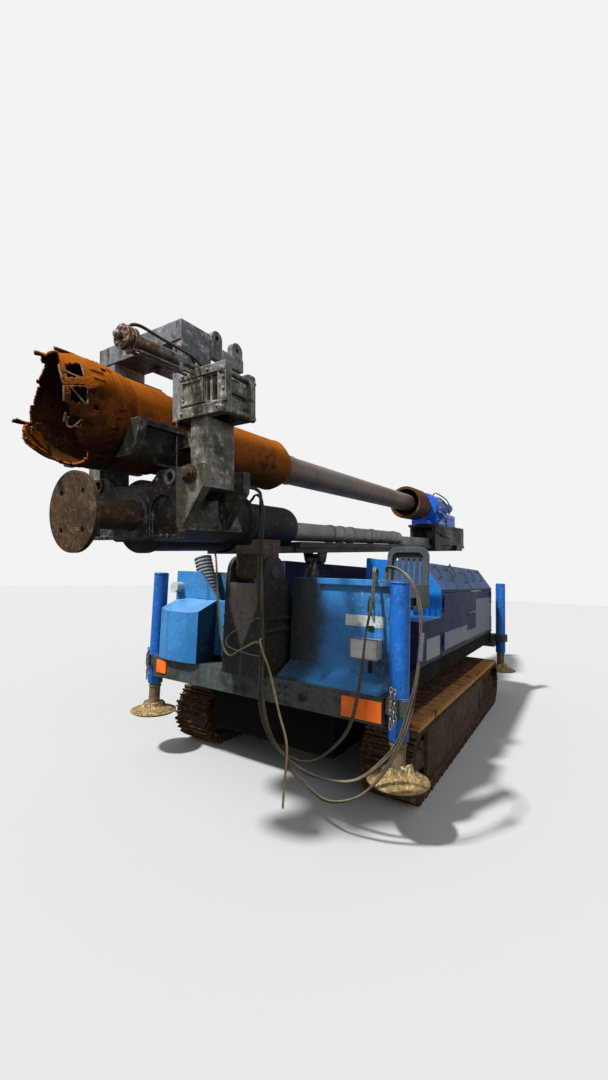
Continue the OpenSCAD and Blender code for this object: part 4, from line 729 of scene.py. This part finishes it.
class RIG_OT_crown(bpy.types.Operator):
    """Torn crown: thin wall with a ragged rim, holes through it, hard beads on it and a tongue bent out"""
    bl_idname = "rig.crown"
    bl_label = "Torn crown"

    def execute(self, context):
        """The wall is the surface r(turn, s): cells beyond the rim, in a hole or held by nothing are left out, and the
        lean grows with the height above 1.555 to the power of 1.5."""
        rng = np.random.default_rng(11)
        columns, rows, teeth = 440, 90, 24
        turn = np.linspace(0, 360, columns, endpoint=False)
        gaps = np.sort(rng.uniform(0, 360, teeth))
        tooth = np.searchsorted(gaps, turn) % teeth
        rim = np.interp(turn, *zip(*RIM)) + rng.uniform(-0.012, 0.004, teeth)[tooth] - 0.003 * rng.random(columns)
        lean = np.interp(turn, *zip(*LEAN)) + rng.uniform(-0.008, 0.006, teeth)[tooth]
        for centre, half, tip in STRIPS:
            off = away(turn, centre) / half
            rim = np.where(off < 1, tip - 0.012 * off ** 3, rim)
            lean = np.where(off < 1, 0.0, lean)
        grid_turn, grid_s = np.meshgrid(turn, np.linspace(CROWN_START, CROWN_END, rows))
        wobble = sum(rng.uniform(0.3, 1) * np.sin(np.radians(grid_turn) * k + rng.uniform(0, 6) + 9 * grid_s * (k % 3))
                     for k in range(2, 9))
        radius = np.interp(grid_s, [1.33, 1.385, 1.65, 1.7], [0.267, 0.276, 0.2825, 0.2825]) - 0.0022 * np.abs(wobble)
        for weld in (1.405, 1.465, 1.482):
            radius += 0.0035 * np.exp(-((grid_s - weld) / 0.005) ** 2)
        for _ in range(26):
            at, wide, low, tall = (rng.uniform(*span) for span in ((0, 360), (0.7, 2.2), (1.42, 1.56), (0.02, 0.07)))
            radius += 0.004 * (away(grid_turn, at) < wide) * (grid_s > low) * (grid_s < low + tall)
        radius += lean * np.clip((grid_s - 1.555) / 0.13, 0, 1.2) ** 1.5
        jitter = 0.0009 * rng.standard_normal((2, rows, columns)) * (grid_s > CROWN_START + 0.01)
        points = around_axis(grid_turn + jitter[0] / 0.28 * 57, radius, grid_s + jitter[1]).reshape(-1, 3)
        mid_turn, mid_s = grid_turn[:-1] + 0.4, grid_s[:-1] + 0.002
        keep = mid_s < rim[None, :]
        keep &= ~((mid_s > 1.615) & (tooth != np.roll(tooth, -1))[None, :] & (rng.random(mid_s.shape) < 0.93))
        for centre, half, low, high in HOLES:
            ragged = 1 + 0.12 * np.sin(mid_s * 260 + centre)
            keep &= ~((away(mid_turn, centre) < half * ragged) & (mid_s > low) & (mid_s < high))
        held = np.zeros_like(keep)
        held[0] = keep[0]
        for _ in range(rows * 4):
            held[1:] |= keep[1:] & held[:-1]
            held[:-1] |= keep[:-1] & held[1:]
            held |= keep & (np.roll(held, 1, 1) | np.roll(held, -1, 1))
        tool = "spindle", "rusty_steel", on_mast
        crown = piece("torn_crown", (points, quads(net(rows, columns))[held].tolist()), "crown_rust", *tool, angle=50,
                      replaces=["crown_bit"])
        # The inner side of the wall takes the dark rust that is painted shade.
        thickened(crown, context.scene.rig_sizes.rim_thickness, inner_slot=1)
        crown.data.materials.append(MATERIALS["inner_rust_painted_shade"])
        piece("crown_hooks", [pipe([around_axis(*at) for at in route], 0.0052) for route in HOOKS], "dusty_rust", *tool)
        layers, up, across = [], 34, 60
        for low, high, root, tip, far in TONGUE:
            wide = np.linspace(low, high, across)
            tall, turn = np.meshgrid(np.linspace(TONGUE_ROOT, far, up), wide, indexing="ij")
            way = (tall - TONGUE_ROOT) / (far - TONGUE_ROOT)
            radius = root + (tip - root) * way ** 1.4 + 0.004 * np.sin(turn * 0.7 + 20 * way) * way
            end = 1 - 0.22 * ((wide - low) / (high - low) * 2 - 1) ** 2 - 0.1 * rng.random(across)
            faces = quads(net(up, across), False)[way[:-1, :-1] < end[None, :-1]]
            layers.append((around_axis(turn, radius, tall).reshape(-1, 3), faces.tolist()))
        thickened(piece("crown_layers", layers, "orange_rust", *tool, angle=50), 0.006, 0)
        bar = np.linspace(1.06, 1.326, 40)
        corners = (-30, 0.2622), (-19, 0.2622), (-19, 0.2668), (-30, 0.2668)
        strip = np.stack([around_axis(*corner, bar) for corner in corners], 1)
        k = net(len(bar), 4)
        faces = flipped(quads(k)).reshape(-1, 4).tolist() + [k[0].tolist(), k[-1][::-1].tolist()]
        piece("casing_strip", (strip.reshape(-1, 3), faces), "greasy_plate", *tool)
        turn = np.linspace(0, 360, 97)
        wave = 0.0015 * np.sin(np.arange(97) * 2.1)
        beads = [swept(around_axis(turn, r, s + wave), 0.005, 8)
                 for s, r in ((0.553, 0.2072), (0.627, 0.2482), (1.047, 0.2485), (-0.165, 0.2075))]
        piece("casing_welds", beads, "orange_rust", *tool)
        return {"FINISHED"}


# Bolts on each half of the clamp that point along the mast: place along, to the side and up, and size.
CLAMP_BOLTS = [
    (1.1185, 0.372, 1.138, 0.011), (1.1185, 0.560, 1.138, 0.011), (1.1285, 0.372, 0.928, 0.011),
    (1.1285, 0.520, 0.928, 0.011), (1.1285, 0.640, 0.928, 0.011), (1.1165, 0.672, 1.02, 0.011),
    (1.1165, 0.672, 1.08, 0.011), (1.1145, 0.372, 1.003, 0.007), (1.1145, 0.502, 1.003, 0.007),
    (1.1145, 0.372, 1.102, 0.007), (1.1145, 0.502, 1.102, 0.007), (1.1605, 0.384, 0.33, 0.012),
    (1.1605, 0.384, 0.42, 0.012), (1.1605, 0.215, 0.575, 0.014), (1.1605, 0.25, 0.26, 0.012),
    (1.1605, 0.30, 0.26, 0.012)]
CLAMP_WELDS = [
    [(1.1605, 0.15, 0.555), (1.1605, 0.165, 0.555), (1.1605, 0.235, 0.62), (1.1605, 0.385, 0.623)],
    [(1.1605, -0.385, 0.623), (1.1605, -0.235, 0.62), (1.1605, -0.165, 0.555), (1.1605, 0.15, 0.555)],
    [(1.102, 0.3405, 0.915), (1.102, 0.3405, 1.16)], [(1.102, -0.3405, 0.915), (1.102, -0.3405, 1.16)],
    [(1.101, -0.43, 1.374), (1.101, 0.34, 1.374)], [(0.87, 0.3405, 1.1), (0.87, 0.3405, 1.45)],
    [(1.13, 0.3405, 0.63), (1.13, 0.3405, 0.9)]]
CLAMP_PIPES = [
    [(1.22, 0.435, 1.215), (1.22, 0.435, 1.25), (1.19, 0.43, 1.265), (1.12, 0.42, 1.262), (1.06, 0.40, 1.24),
     (1.02, 0.38, 1.185)],
    [(1.50, 0.435, 1.215), (1.50, 0.44, 1.245), (1.46, 0.46, 1.252), (1.36, 0.475, 1.235), (1.24, 0.48, 1.225),
     (1.15, 0.485, 1.215), (1.06, 0.48, 1.185)]]


def weld_bead(route):
    """A bead along straight lines, in steps of 6 mm, that swells and shrinks."""
    corners = np.array(route)
    line = np.vstack([np.linspace(a, b, max(2, int(np.linalg.norm(b - a) / 0.006)))
                      for a, b in zip(corners[:-1], corners[1:])])
    line = line[np.concatenate([[True], np.linalg.norm(np.diff(line, axis=0), axis=1) > 1e-6])]
    return swept(line, 0.005 + 0.0012 * np.sin(np.arange(len(line)) * 1.7), 6)


class RIG_OT_clamp_fittings(bpy.types.Operator):
    """Bolts, pins, weld beads and pipes of the clamp and its cylinder"""
    bl_idname = "rig.clamp_fittings"
    bl_label = "Clamp fittings"

    def execute(self, context):
        rusty, dark, collar = [], [], [[0, 0.028], [0, 0.046], [0.012, 0.043], [0.012, 0.028]]
        for side in (1, -1):
            rusty += bolt((1.190, side * 0.490, 0.580), ALONG, 0.040)
            rusty.append(ring(CENTRE, 0.052, 0.008, (1.174, side * 0.490, 0.580), ALONG, 24))
            dark.append(turned(collar, (1.160, side * 0.327, 0.580), ALONG))
            for h in (1.122, 0.922):
                for s, way in ((1.1163, 1), (0.8557, -1)):
                    dark += bolt((s, side * 0.658, h), (way, 0, 0), 0.022)
            for s, y, h, size in CLAMP_BOLTS:
                dark += bolt((s, side * y, h), ALONG, size)
            for h in (0.60, 0.68, 0.76):
                dark += bolt((0.985, side * 0.5405, h), (0, side, 0), 0.016)
        for i in range(8):
            a = math.pi / 4 * i
            dark += bolt((1.5493, 0.435 + 0.042 * math.cos(a), 1.175 + 0.042 * math.sin(a)), ALONG, 0.008)
        dark += bolt((1.574, 0.435, 1.1745), ALONG, 0.018)
        for y in (0, -0.2, 0.2):
            for s in (0.9, 1.07):
                dark += bolt((s, y, 1.4905), UP, 0.012)
        piece("clamp_pin_bolts", rusty, "foot_rust", "mast", "rusty_steel", on_mast)
        piece("clamp_bolts", dark, "clamp_casting", "mast", "grey_steel", on_mast)
        piece("clamp_welds", [weld_bead(route) for route in CLAMP_WELDS], "clamp_plate", "mast", "grey_steel", on_mast)
        hoses = [pipe(route, 0.008) for route in CLAMP_PIPES]
        piece("clamp_pipes", hoses, "dusty_hose", "mast", "hose_rubber", on_mast)
        return {"FINISHED"}


def slope(x, share, out):
    """A point over the left hood's slanted side: share of the way up it, and how far it stands out."""
    return (x, 1.09 - 0.19 * share + 0.818 * out, 1.59 + 0.27 * share + 0.576 * out)


class RIG_OT_hood_fittings(bpy.types.Operator):
    """Handles, catches and weather strips of the hoods, bars of the boxes and the lamps' frames"""
    bl_idname = "rig.hood_fittings"
    bl_label = "Hood and box fittings"

    def execute(self, context):
        dark, blue = ("chassis", "dark_steel", on_machine), ("chassis", "blue_paint", on_machine)
        handles = []
        for x, t in ((-1.66, 0.42), (-2.12, 0.36), (-2.32, 0.52), (-2.78, 0.3), (-3.3, 0.4), (-3.85, 0.4)):
            steps = ((0, 0, 0), (0, 0, 0.03), (0.01, 0.08, 0.042), (0.03, 0.38, 0.042), (0.06, 0.44, 0.04),
                     (0.12, 0.44, 0.03), (0.13, 0.44, 0))
            handles.append(pipe([slope(x - back, t + up, out) for back, up, out in steps], 0.008, 5, 10))
            foot = [[0, CENTRE], [0, 0.02], [0.006, 0.018], [0.006, CENTRE]]
            handles.append(turned(foot, slope(x, t, 0.0), (0, 0.818, 0.576), 16))
        piece("hood_handles", handles, "seat_vinyl", *dark)
        strips = [boxed((-4.29, 1.0905, 1.586), (-1.46, 1.096, 1.594)),
                  boxed((-4.29, 1.0905, 0.955), (-1.46, 1.098, 0.985)),
                  boxed((-4.28, 0.3, 1.8905), (-1.47, 0.305, 1.898))]
        for x in (-2.2, -2.9, -3.6):
            strips.append(swept(np.linspace(slope(x, 0.02, 0.0), slope(x, 0.98, 0.0), 12), 0.003, 6))
        piece("hood_strips", strips, "seat_vinyl", *dark)
        knob = [[0, CENTRE], [0, 0.026], [0.008, 0.024], [0.008, 0.012], [0.016, 0.012], [0.016, CENTRE]]
        for x, body in ((-2.78, "hood_door_front"), (-2.98, "hood_door_rear")):
            catch = [turned(knob, (x, 1.0905, 1.3), LEFT, 24), boxed((x - 0.01, 1.104, 1.27), (x + 0.01, 1.114, 1.33))]
            piece(body + "_catch", catch, "chromed_rod", body, "bright_rod", on_machine)
        bars = ((0.832, 1.112, 1.048, 1.118), (0.832, 1.252, 1.048, 1.258), (0.832, 1.112, 0.838, 1.258),
                (1.042, 1.112, 1.048, 1.258))
        piece("lamp_frame", [boxed((0.0055, y0, z0), (0.012, y1, z1)) for y0, z0, y1, z1 in bars], "pale_enamel",
              "chassis", "pale_paint", on_machine, bevel=0.001)
        iron = [boxed((-0.0945, 0.935, 0.99), (-0.088, 0.965, 1.11)),
                boxed((-0.0945, 0.93, 1.30), (-0.0885, 0.975, 1.34)),
                pipe([(-0.094, 0.95, 1.55), (-0.05, 0.95, 1.53), (-0.04, 0.95, 1.45), (-0.094, 0.95, 1.43)], 0.006),
                boxed((-0.11, -0.80, 1.432), (-0.1, -0.60, 1.44)), boxed((0.02, -1.0405, 1.0), (0.14, -1.0401, 1.005))]
        for z in (0.745, 0.80, 0.855):
            for y in (0.30, 0.36):
                iron += bolt((0.102, y, z), ALONG, 0.012)
        iron.append(turned([[0, 0.012], [0, 0.032], [0.01, 0.03], [0.01, 0.012]], (0.1, 0.5, 0.8), ALONG, 24))
        piece("front_ironwork", iron, "greasy_plate", *dark)
        a = np.linspace(0, 2 * math.pi, 60)
        beads = [swept(np.stack([0.0685 * np.cos(a), y + 0.0685 * np.sin(a), np.full(60, z)], -1), 0.005, 8)
                 for y in (LEG_Y, -LEG_Y) for z in (0.903, 1.655)]
        piece("tube_beads", beads, "blue_enamel", *blue)
        skirt = [[0, 0.0525], [0, 0.067], [-0.002, 0.068], [-0.004, 0.067], [-0.165, 0.067], [-0.17, 0.064],
                 [-0.17, 0.0525]]
        sleeves = [turned(skirt, (x, y, 0.7995), UP, 48) for x in (0.0, LEG_REAR_X) for y in (LEG_Y, -LEG_Y)]
        piece("leg_sleeves", sleeves, "blue_enamel", *blue)
        return {"FINISHED"}


class RIG_OT_chains(bpy.types.Operator):
    """Chains that hang beside the front legs"""
    bl_idname = "rig.chains"
    bl_label = "Chains"

    def execute(self, context):
        a = np.linspace(0, 2 * math.pi, 21)
        tall, wide = 0.017 * np.cos(a), 0.009 * np.sin(a)
        links = []
        for y, top, count, x in ((1.192, 0.965, 9, 0.124), (1.214, 0.955, 8, 0.118), (-1.185, 0.95, 10, 0.112)):
            for i in range(count):
                across = i % 2                  # every other link stands square to its neighbours
                links.append(swept(np.stack([x + across * wide, y + 0.003 * math.sin(i * 2.3) + (1 - across) * wide,
                                             top - 0.0275 * i + tall + 0.006 * np.sign(tall)], -1), 0.0042, 8))
        piece("leg_chains", links, "chain_zinc", "chassis", "bright_rod", on_machine)
        return {"FINISHED"}


class RIG_OT_drive_fittings(bpy.types.Operator):
    """Pipes, flanges, bolts and boxes round the rotary drive"""
    bl_idname = "rig.drive_fittings"
    bl_label = "Drive fittings"

    def execute(self, context):
        pale, blue, dark = [], [], []
        starts = (-60, 0.05), (-75, 0.07), (-95, 0.06), (-110, 0.08), (-40, 0.06), (70, 0.06)
        for k, (turn, reach) in enumerate(starts):
            steps = ((0, 0.236, -4.60), (0, 0.236 + reach, -4.58), (8, 0.25 + reach, -4.75),
                     (18, 0.24 + reach, -4.95 - 0.03 * k), (30, 0.22 + reach, -5.2), (34, 0.2, -5.42 - 0.05 * k))
            pale.append(pipe([around_axis(turn - back, r, s) for back, r, s in steps], 0.011, 8, 10))
        for y in (0.17, 0.2, 0.23):
            pale.append(pipe([(-4.7, y, 0.66), (-4.62, y + 0.06, 0.62), (-4.7, y + 0.08, 0.5), (-5.0, y + 0.05, 0.42),
                              (-5.5, y, 0.4)], 0.010, 8, 10))
        for i in range(16):
            blue += bolt(around_axis(22.5 * i, 0.215, -4.5198), ALONG, 0.013)
        blue += [ring(0.19, 0.245, -0.03, (s, 0, DRILL_H), ALONG, 64) for s in (-4.56, -5.12)]
        motor = [[0, CENTRE], [0, 0.06], [-0.09, 0.06], [-0.1, 0.05], [-0.1, CENTRE]]
        for y in (-0.11, 0.11):
            blue.append(turned(motor, (-5.78, y, DRILL_H + 0.06), ALONG))
            blue.append(ring(0.05, 0.095, -0.025, (-5.20, y, DRILL_H + 0.06), ALONG))
        blue += [boxed((-4.98, 0.2155, 0.72), (-4.70, 0.285, 0.84)), boxed((-4.50, -0.12, 0.603), (-4.30, 0.15, 0.66)),
                 boxed((-4.9, 0.2155, 0.605), (-4.66, 0.26, 0.68))]
        for s in np.arange(-6.3, -4.4, 0.2):
            for y in (0.215, -0.215):
                dark += bolt((s, y, 0.6003), UP, 0.012)
        piece("drive_pipes", pale, "pipe_zinc", "feed", "bright_rod", on_mast)
        piece("drive_flanges", blue, "drive_enamel", "feed", "blue_paint", on_mast, bevel=0.002)
        piece("carriage_bolts", dark, "greasy_plate", "feed", "dark_steel", on_mast)
        return {"FINISHED"}


def settled(thing):
    """A new mesh of a piece as its modifiers leave it, given to it in their place."""
    graph = bpy.context.evaluated_depsgraph_get()
    mesh = bpy.data.meshes.new_from_object(thing.evaluated_get(graph))
    thing.modifiers.clear()
    thing.data = mesh
    return mesh


class RIG_OT_seat(bpy.types.Operator):
    """Padded seat: a cushion blown up in a cloth simulation, held to a few millimetres, with levers and knobs"""
    bl_idname = "rig.seat"
    bl_label = "Seat cushion"

    def execute(self, context):
        low, high, furthest = (-1.015, 0.692, 1.4605), (-0.682, 1.048, 1.53), 0.012
        cushion = piece("padded_cushion", boxed(low, high), "seat_vinyl", "chassis", "seat_vinyl", on_machine, angle=60,
                        replaces=["seat_cushion"])
        remesh = cushion.modifiers.new("even_cells", "REMESH")
        remesh.mode, remesh.voxel_size = "VOXEL", 0.009
        mesh = settled(cushion)
        before = np.array([v.co[:] for v in mesh.vertices])
        cloth = cushion.modifiers.new("cover", "CLOTH").settings
        cloth.use_pressure = True
        cloth.uniform_pressure_force = 4
        cloth.effector_weights.gravity = 0
        for number in range(1, 21):
            context.scene.frame_set(number)
        mesh = settled(cushion)
        context.scene.frame_set(1)
        move = np.array([v.co[:] for v in mesh.vertices]) - before
        size = np.linalg.norm(move, axis=1)[:, None]
        after = before + move * np.minimum(1, furthest / np.maximum(size, 1e-6))
        after[:, 2] = np.maximum(after[:, 2], low[2])
        mesh.vertices.foreach_set("co", after.ravel())
        mesh.polygons.foreach_set("use_smooth", np.ones(len(mesh.polygons), bool))
        mesh.materials.clear()
        mesh.materials.append(MATERIALS["seat_vinyl"])
        cushion.modifiers.new("smooth_cells", "SUBSURF").levels = 1
        ball = [[-0.02, CENTRE], [-0.016, 0.012], [0, 0.02], [0.016, 0.012], [0.02, CENTRE]]
        grip = [[0, CENTRE], [0, 0.016], [0.05, 0.013], [0.056, CENTRE]]
        rods = []
        for y in (0.80, 0.89):
            rods.append(pipe([(-0.19, y, 1.425), (-0.19, y, 1.47), (-0.17, y + 0.01, 1.52), (-0.16, y + 0.02, 1.57)],
                             0.007, 6, 10))
            rods.append(turned(grip, (-0.16, y + 0.02, 1.56), UP, 16))
        piece("box_levers", rods, "pale_enamel", "chassis", "pale_paint", on_machine)
        piece("lever_knobs", [turned(ball, (-0.605, y, 1.575), UP, 20) for y in (0.69, 0.75, 0.81, 0.87, 0.93)],
              "seat_vinyl", "chassis", "seat_plastic", on_machine)
        return {"FINISHED"}


# Tracks: where the wheels stand, the shoes' radius round them and how many shoes there are.
WHEEL_REAR_X, WHEEL_FRONT_X, AXLE_Z, BELT_R = -3.85, -0.56, 0.3, 0.274
SHOES, LOOP = 53, 8.3016                    # LOOP is the track's length round both wheels
RIB = (-0.006, -0.008), (0.006, -0.008), (0.005, 0.0245), (-0.005, 0.0245)     # a rib's section, along and outwards
PAD_IN, PAD_OUT = 0.082, 0.202              # radius of the soil on a pad, from its neck to its edge
# The soil on each leg: its body, its place and how high it is heaped.
HEAPS = (("leg_front_left", 0.0, LEG_Y, 1.0), ("leg_front_right", 0.0, -LEG_Y, 0.5),
         ("leg_rear_left", LEG_REAR_X, LEG_Y, 0.6), ("leg_rear_right", LEG_REAR_X, -LEG_Y, 0.4))


def on_track(gone):
    """The place on a track's loop (along, up) gone metres from the top of the rear wheel, and the way out there."""
    run, arc = WHEEL_FRONT_X - WHEEL_REAR_X, math.pi * BELT_R
    if gone < run:
        middle, out = WHEEL_REAR_X + gone, np.array([0.0, 1.0])
    elif gone < run + arc:
        turn = math.pi / 2 - (gone - run) / BELT_R
        middle, out = WHEEL_FRONT_X, np.array([math.cos(turn), math.sin(turn)])
    elif gone < 2 * run + arc:
        middle, out = WHEEL_FRONT_X - (gone - run - arc), np.array([0.0, -1.0])
    else:
        turn = 1.5 * math.pi - (gone - 2 * run - arc) / BELT_R
        middle, out = WHEEL_REAR_X, np.array([math.cos(turn), math.sin(turn)])
    return np.array([middle, AXLE_Z]) + BELT_R * out, out


def shoe_rib(gone, side):
    """A rib across a shoe, a little narrower at its top."""
    centre, out = on_track(gone)
    along = np.array([out[1], -out[0]])
    corners = [centre + along * a + out * b for a, b in RIB]
    points = np.array([(p[0], side * y, p[1]) for y in (0.803, 1.198) for p in corners])
    faces = [[0, 1, 2, 3], [7, 6, 5, 4], [0, 4, 5, 1], [1, 5, 6, 2], [2, 6, 7, 3], [3, 7, 4, 0]]
    return points, faces if side < 0 else [f[::-1] for f in faces]


class RIG_OT_pad_dirt(bpy.types.Operator):
    """Soil heaped on the legs' pads, ribs on the tracks' shoes and mud left on the tracks' outer edge"""
    bl_idname = "rig.pad_dirt"
    bl_label = "Soil on the pads"

    def execute(self, context):
        """Height over a pad: soft waves of eight sizes, let down to nothing towards the pad's edge and its neck. The
        mud's is the same over a strip."""
        rng = np.random.default_rng(5)
        rings, sides = 26, 96
        r, a = np.linspace(PAD_IN, PAD_OUT, rings)[:, None], circle(sides)[None, :]
        under = np.interp(r, [PAD_IN, 0.084, 0.11, 0.205], [0.449, 0.447, 0.399, 0.381])
        edge = np.clip((PAD_OUT - r) / 0.03, 0, 1) * np.clip((r - PAD_IN) / 0.01, 0, 1)
        faces = flipped(quads(net(rings, sides))).reshape(-1, 4).tolist()
        for name, x, y, lump in HEAPS:
            waves = sum(np.sin(k * a + rng.uniform(0, 6) + 14 * r * (k % 4)) * rng.uniform(0.3, 1) / k ** 0.7
                        for k in (1, 2, 3, 5, 7, 11, 16, 23))
            heap = (0.205 - r) / 0.12 * (0.04 + 0.014 * waves + 0.02 * np.cos(a - 0.6))
            heap = np.clip(heap, 0.006, 0.075) * lump * edge ** 0.5
            z = under - 0.002 + heap + 0.005 * rng.random((rings, sides)) * (edge > 0)
            points = np.stack([x + r * np.cos(a), y + r * np.sin(a), z], -1).reshape(-1, 3)
            soil = piece("soil_" + name, (points, faces), "dry_soil", name, "track_steel", on_machine, angle=70)
            thickened(soil, 0.004)
        ribs, mud, long, wide = [], [], 480, 12
        low, high = 1.10, 1.197
        faces = flipped(quads(net(long, wide), False)).reshape(-1, 4)
        for side in (1, -1):
            ribs += [shoe_rib((number + share) * LOOP / SHOES, side)
                     for number in range(SHOES) for share in (0.43, 0.76)]
            x, y = np.meshgrid(np.linspace(-3.84, -0.57, long), np.linspace(low, high, wide), indexing="ij")
            waves = sum(np.sin(7 * k * x + rng.uniform(0, 6) + 25 * y * (k % 4)) * rng.uniform(0.3, 1) / k ** 0.5
                        for k in (1, 2, 3, 5, 7, 11, 17, 29))
            edge = np.clip(np.minimum((y - low) / 0.03, (high - y) / 0.006), 0, 1)
            z = 0.572 + edge * np.clip(0.006 + 0.008 * waves + 0.005 * rng.random(x.shape), 0.0, 0.023)
            mud.append((np.stack([x, side * y, z], -1).reshape(-1, 3), faces[:, ::side].tolist()))
        piece("shoe_ribs", ribs, "track_plate", "chassis", "track_steel", on_machine)
        thickened(piece("track_mud", mud, "dry_soil", "chassis", "track_steel", on_machine, angle=70), 0.003)
        return {"FINISHED"}


class RIG_OT_finishes(bpy.types.Operator):
    """A finish for each solid of the frame"""
    bl_idname = "rig.finishes"
    bl_label = "Finishes"

    def execute(self, context):
        for finish, row in FINISHES.items():
            for node in row[2].split():
                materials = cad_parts[node].data.materials
                materials.clear()
                materials.append(MATERIALS[finish])
        return {"FINISHED"}


class RIG_OT_stage(bpy.types.Operator):
    """Pale floor, soft lamps and a pale backdrop"""
    bl_idname = "rig.stage"
    bl_label = "Floor and light"

    def execute(self, context):
        mesh = bpy.data.meshes.new("floor")
        mesh.from_pydata([(-40, -40, 0), (40, -40, 0), (40, 40, 0), (-40, 40, 0)], [], [[0, 1, 2, 3]])
        floor = bpy.data.objects.new("floor", mesh)
        context.scene.collection.objects.link(floor)
        paint = bpy.data.materials.new("floor_plaster")
        paint.use_nodes = True
        tree = paint.node_tree
        shader = tree.nodes["Principled BSDF"].inputs
        shader["Roughness"].default_value = 0.9
        pale = tuple(context.scene.rig_sizes.floor_colour)
        tree.links.new(mixed(tree, eye_only(tree), linear("#5f5c57"), pale), shader["Base Color"])
        mesh.materials.append(paint)
        world = bpy.data.worlds.new("studio")
        context.scene.world = world
        world.use_nodes = True
        tree = world.node_tree
        light = tree.nodes["Background"]
        light.inputs[0].default_value = linear("#eef2f8")
        light.inputs[1].default_value = 0.5
        shown = add(tree, "Background", {0: linear("#f2f3f4"), 1: 1.0})
        both = add(tree, "MixShader", {0: eye_only(tree), 1: light.outputs[0], 2: shown.outputs[0]})
        tree.links.new(both.outputs[0], tree.nodes["World Output"].inputs[0])
        for name, toward, power, angle in (("key", (0.55, -0.24, 0.8), 5.4, 4), ("fill", (0.45, 0.8, 0.45), 0.7, 40)):
            data = bpy.data.lights.new(name, "SUN")
            data.energy, data.angle = power, math.radians(angle)
            lamp = bpy.data.objects.new(name, data)
            lamp.rotation_euler = Vector(toward).to_track_quat("Z", "Y").to_euler()
            context.scene.collection.objects.link(lamp)
        context.scene.view_settings.view_transform = "Standard"
        return {"FINISHED"}


class RIG_PT_panel(bpy.types.Panel):
    """The rig's pieces, in the order they are made"""
    bl_idname = "RIG_PT_panel"
    bl_label = "Piling rig"
    bl_space_type = "VIEW_3D"
    bl_region_type = "UI"
    bl_category = "Piling rig"

    def draw(self, context):
        for name in RIG_PG_sizes.__annotations__:
            self.layout.prop(context.scene.rig_sizes, name)
        for step in STEPS:
            self.layout.operator(step.bl_idname)


STEPS = [RIG_OT_camera, RIG_OT_cords, RIG_OT_finishes, RIG_OT_crown, RIG_OT_clamp_fittings, RIG_OT_hood_fittings,
         RIG_OT_chains, RIG_OT_drive_fittings, RIG_OT_seat, RIG_OT_pad_dirt, RIG_OT_stage]
MATERIALS = {}                              # made by main(), in the table's order


def register():
    """Adds the classes and the sizes to Blender."""
    for kind in (RIG_PG_sizes, *STEPS, RIG_PT_panel):
        bpy.utils.register_class(kind)
    bpy.types.Scene.rig_sizes = bpy.props.PointerProperty(type=RIG_PG_sizes)


def unregister():
    """Takes them out again."""
    del bpy.types.Scene.rig_sizes
    for kind in (RIG_PT_panel, *reversed(STEPS), RIG_PG_sizes):
        bpy.utils.unregister_class(kind)


def main():
    """Makes every piece in order."""
    register()
    for finish, (tones, numbers, _, *own) in FINISHES.items():
        MATERIALS[finish] = weathered(finish, tones, numbers, **(own[0] if own else {}))
    for step in STEPS:
        getattr(bpy.ops.rig, step.bl_idname.split(".")[1])()


if __name__ == "__main__":
    main()
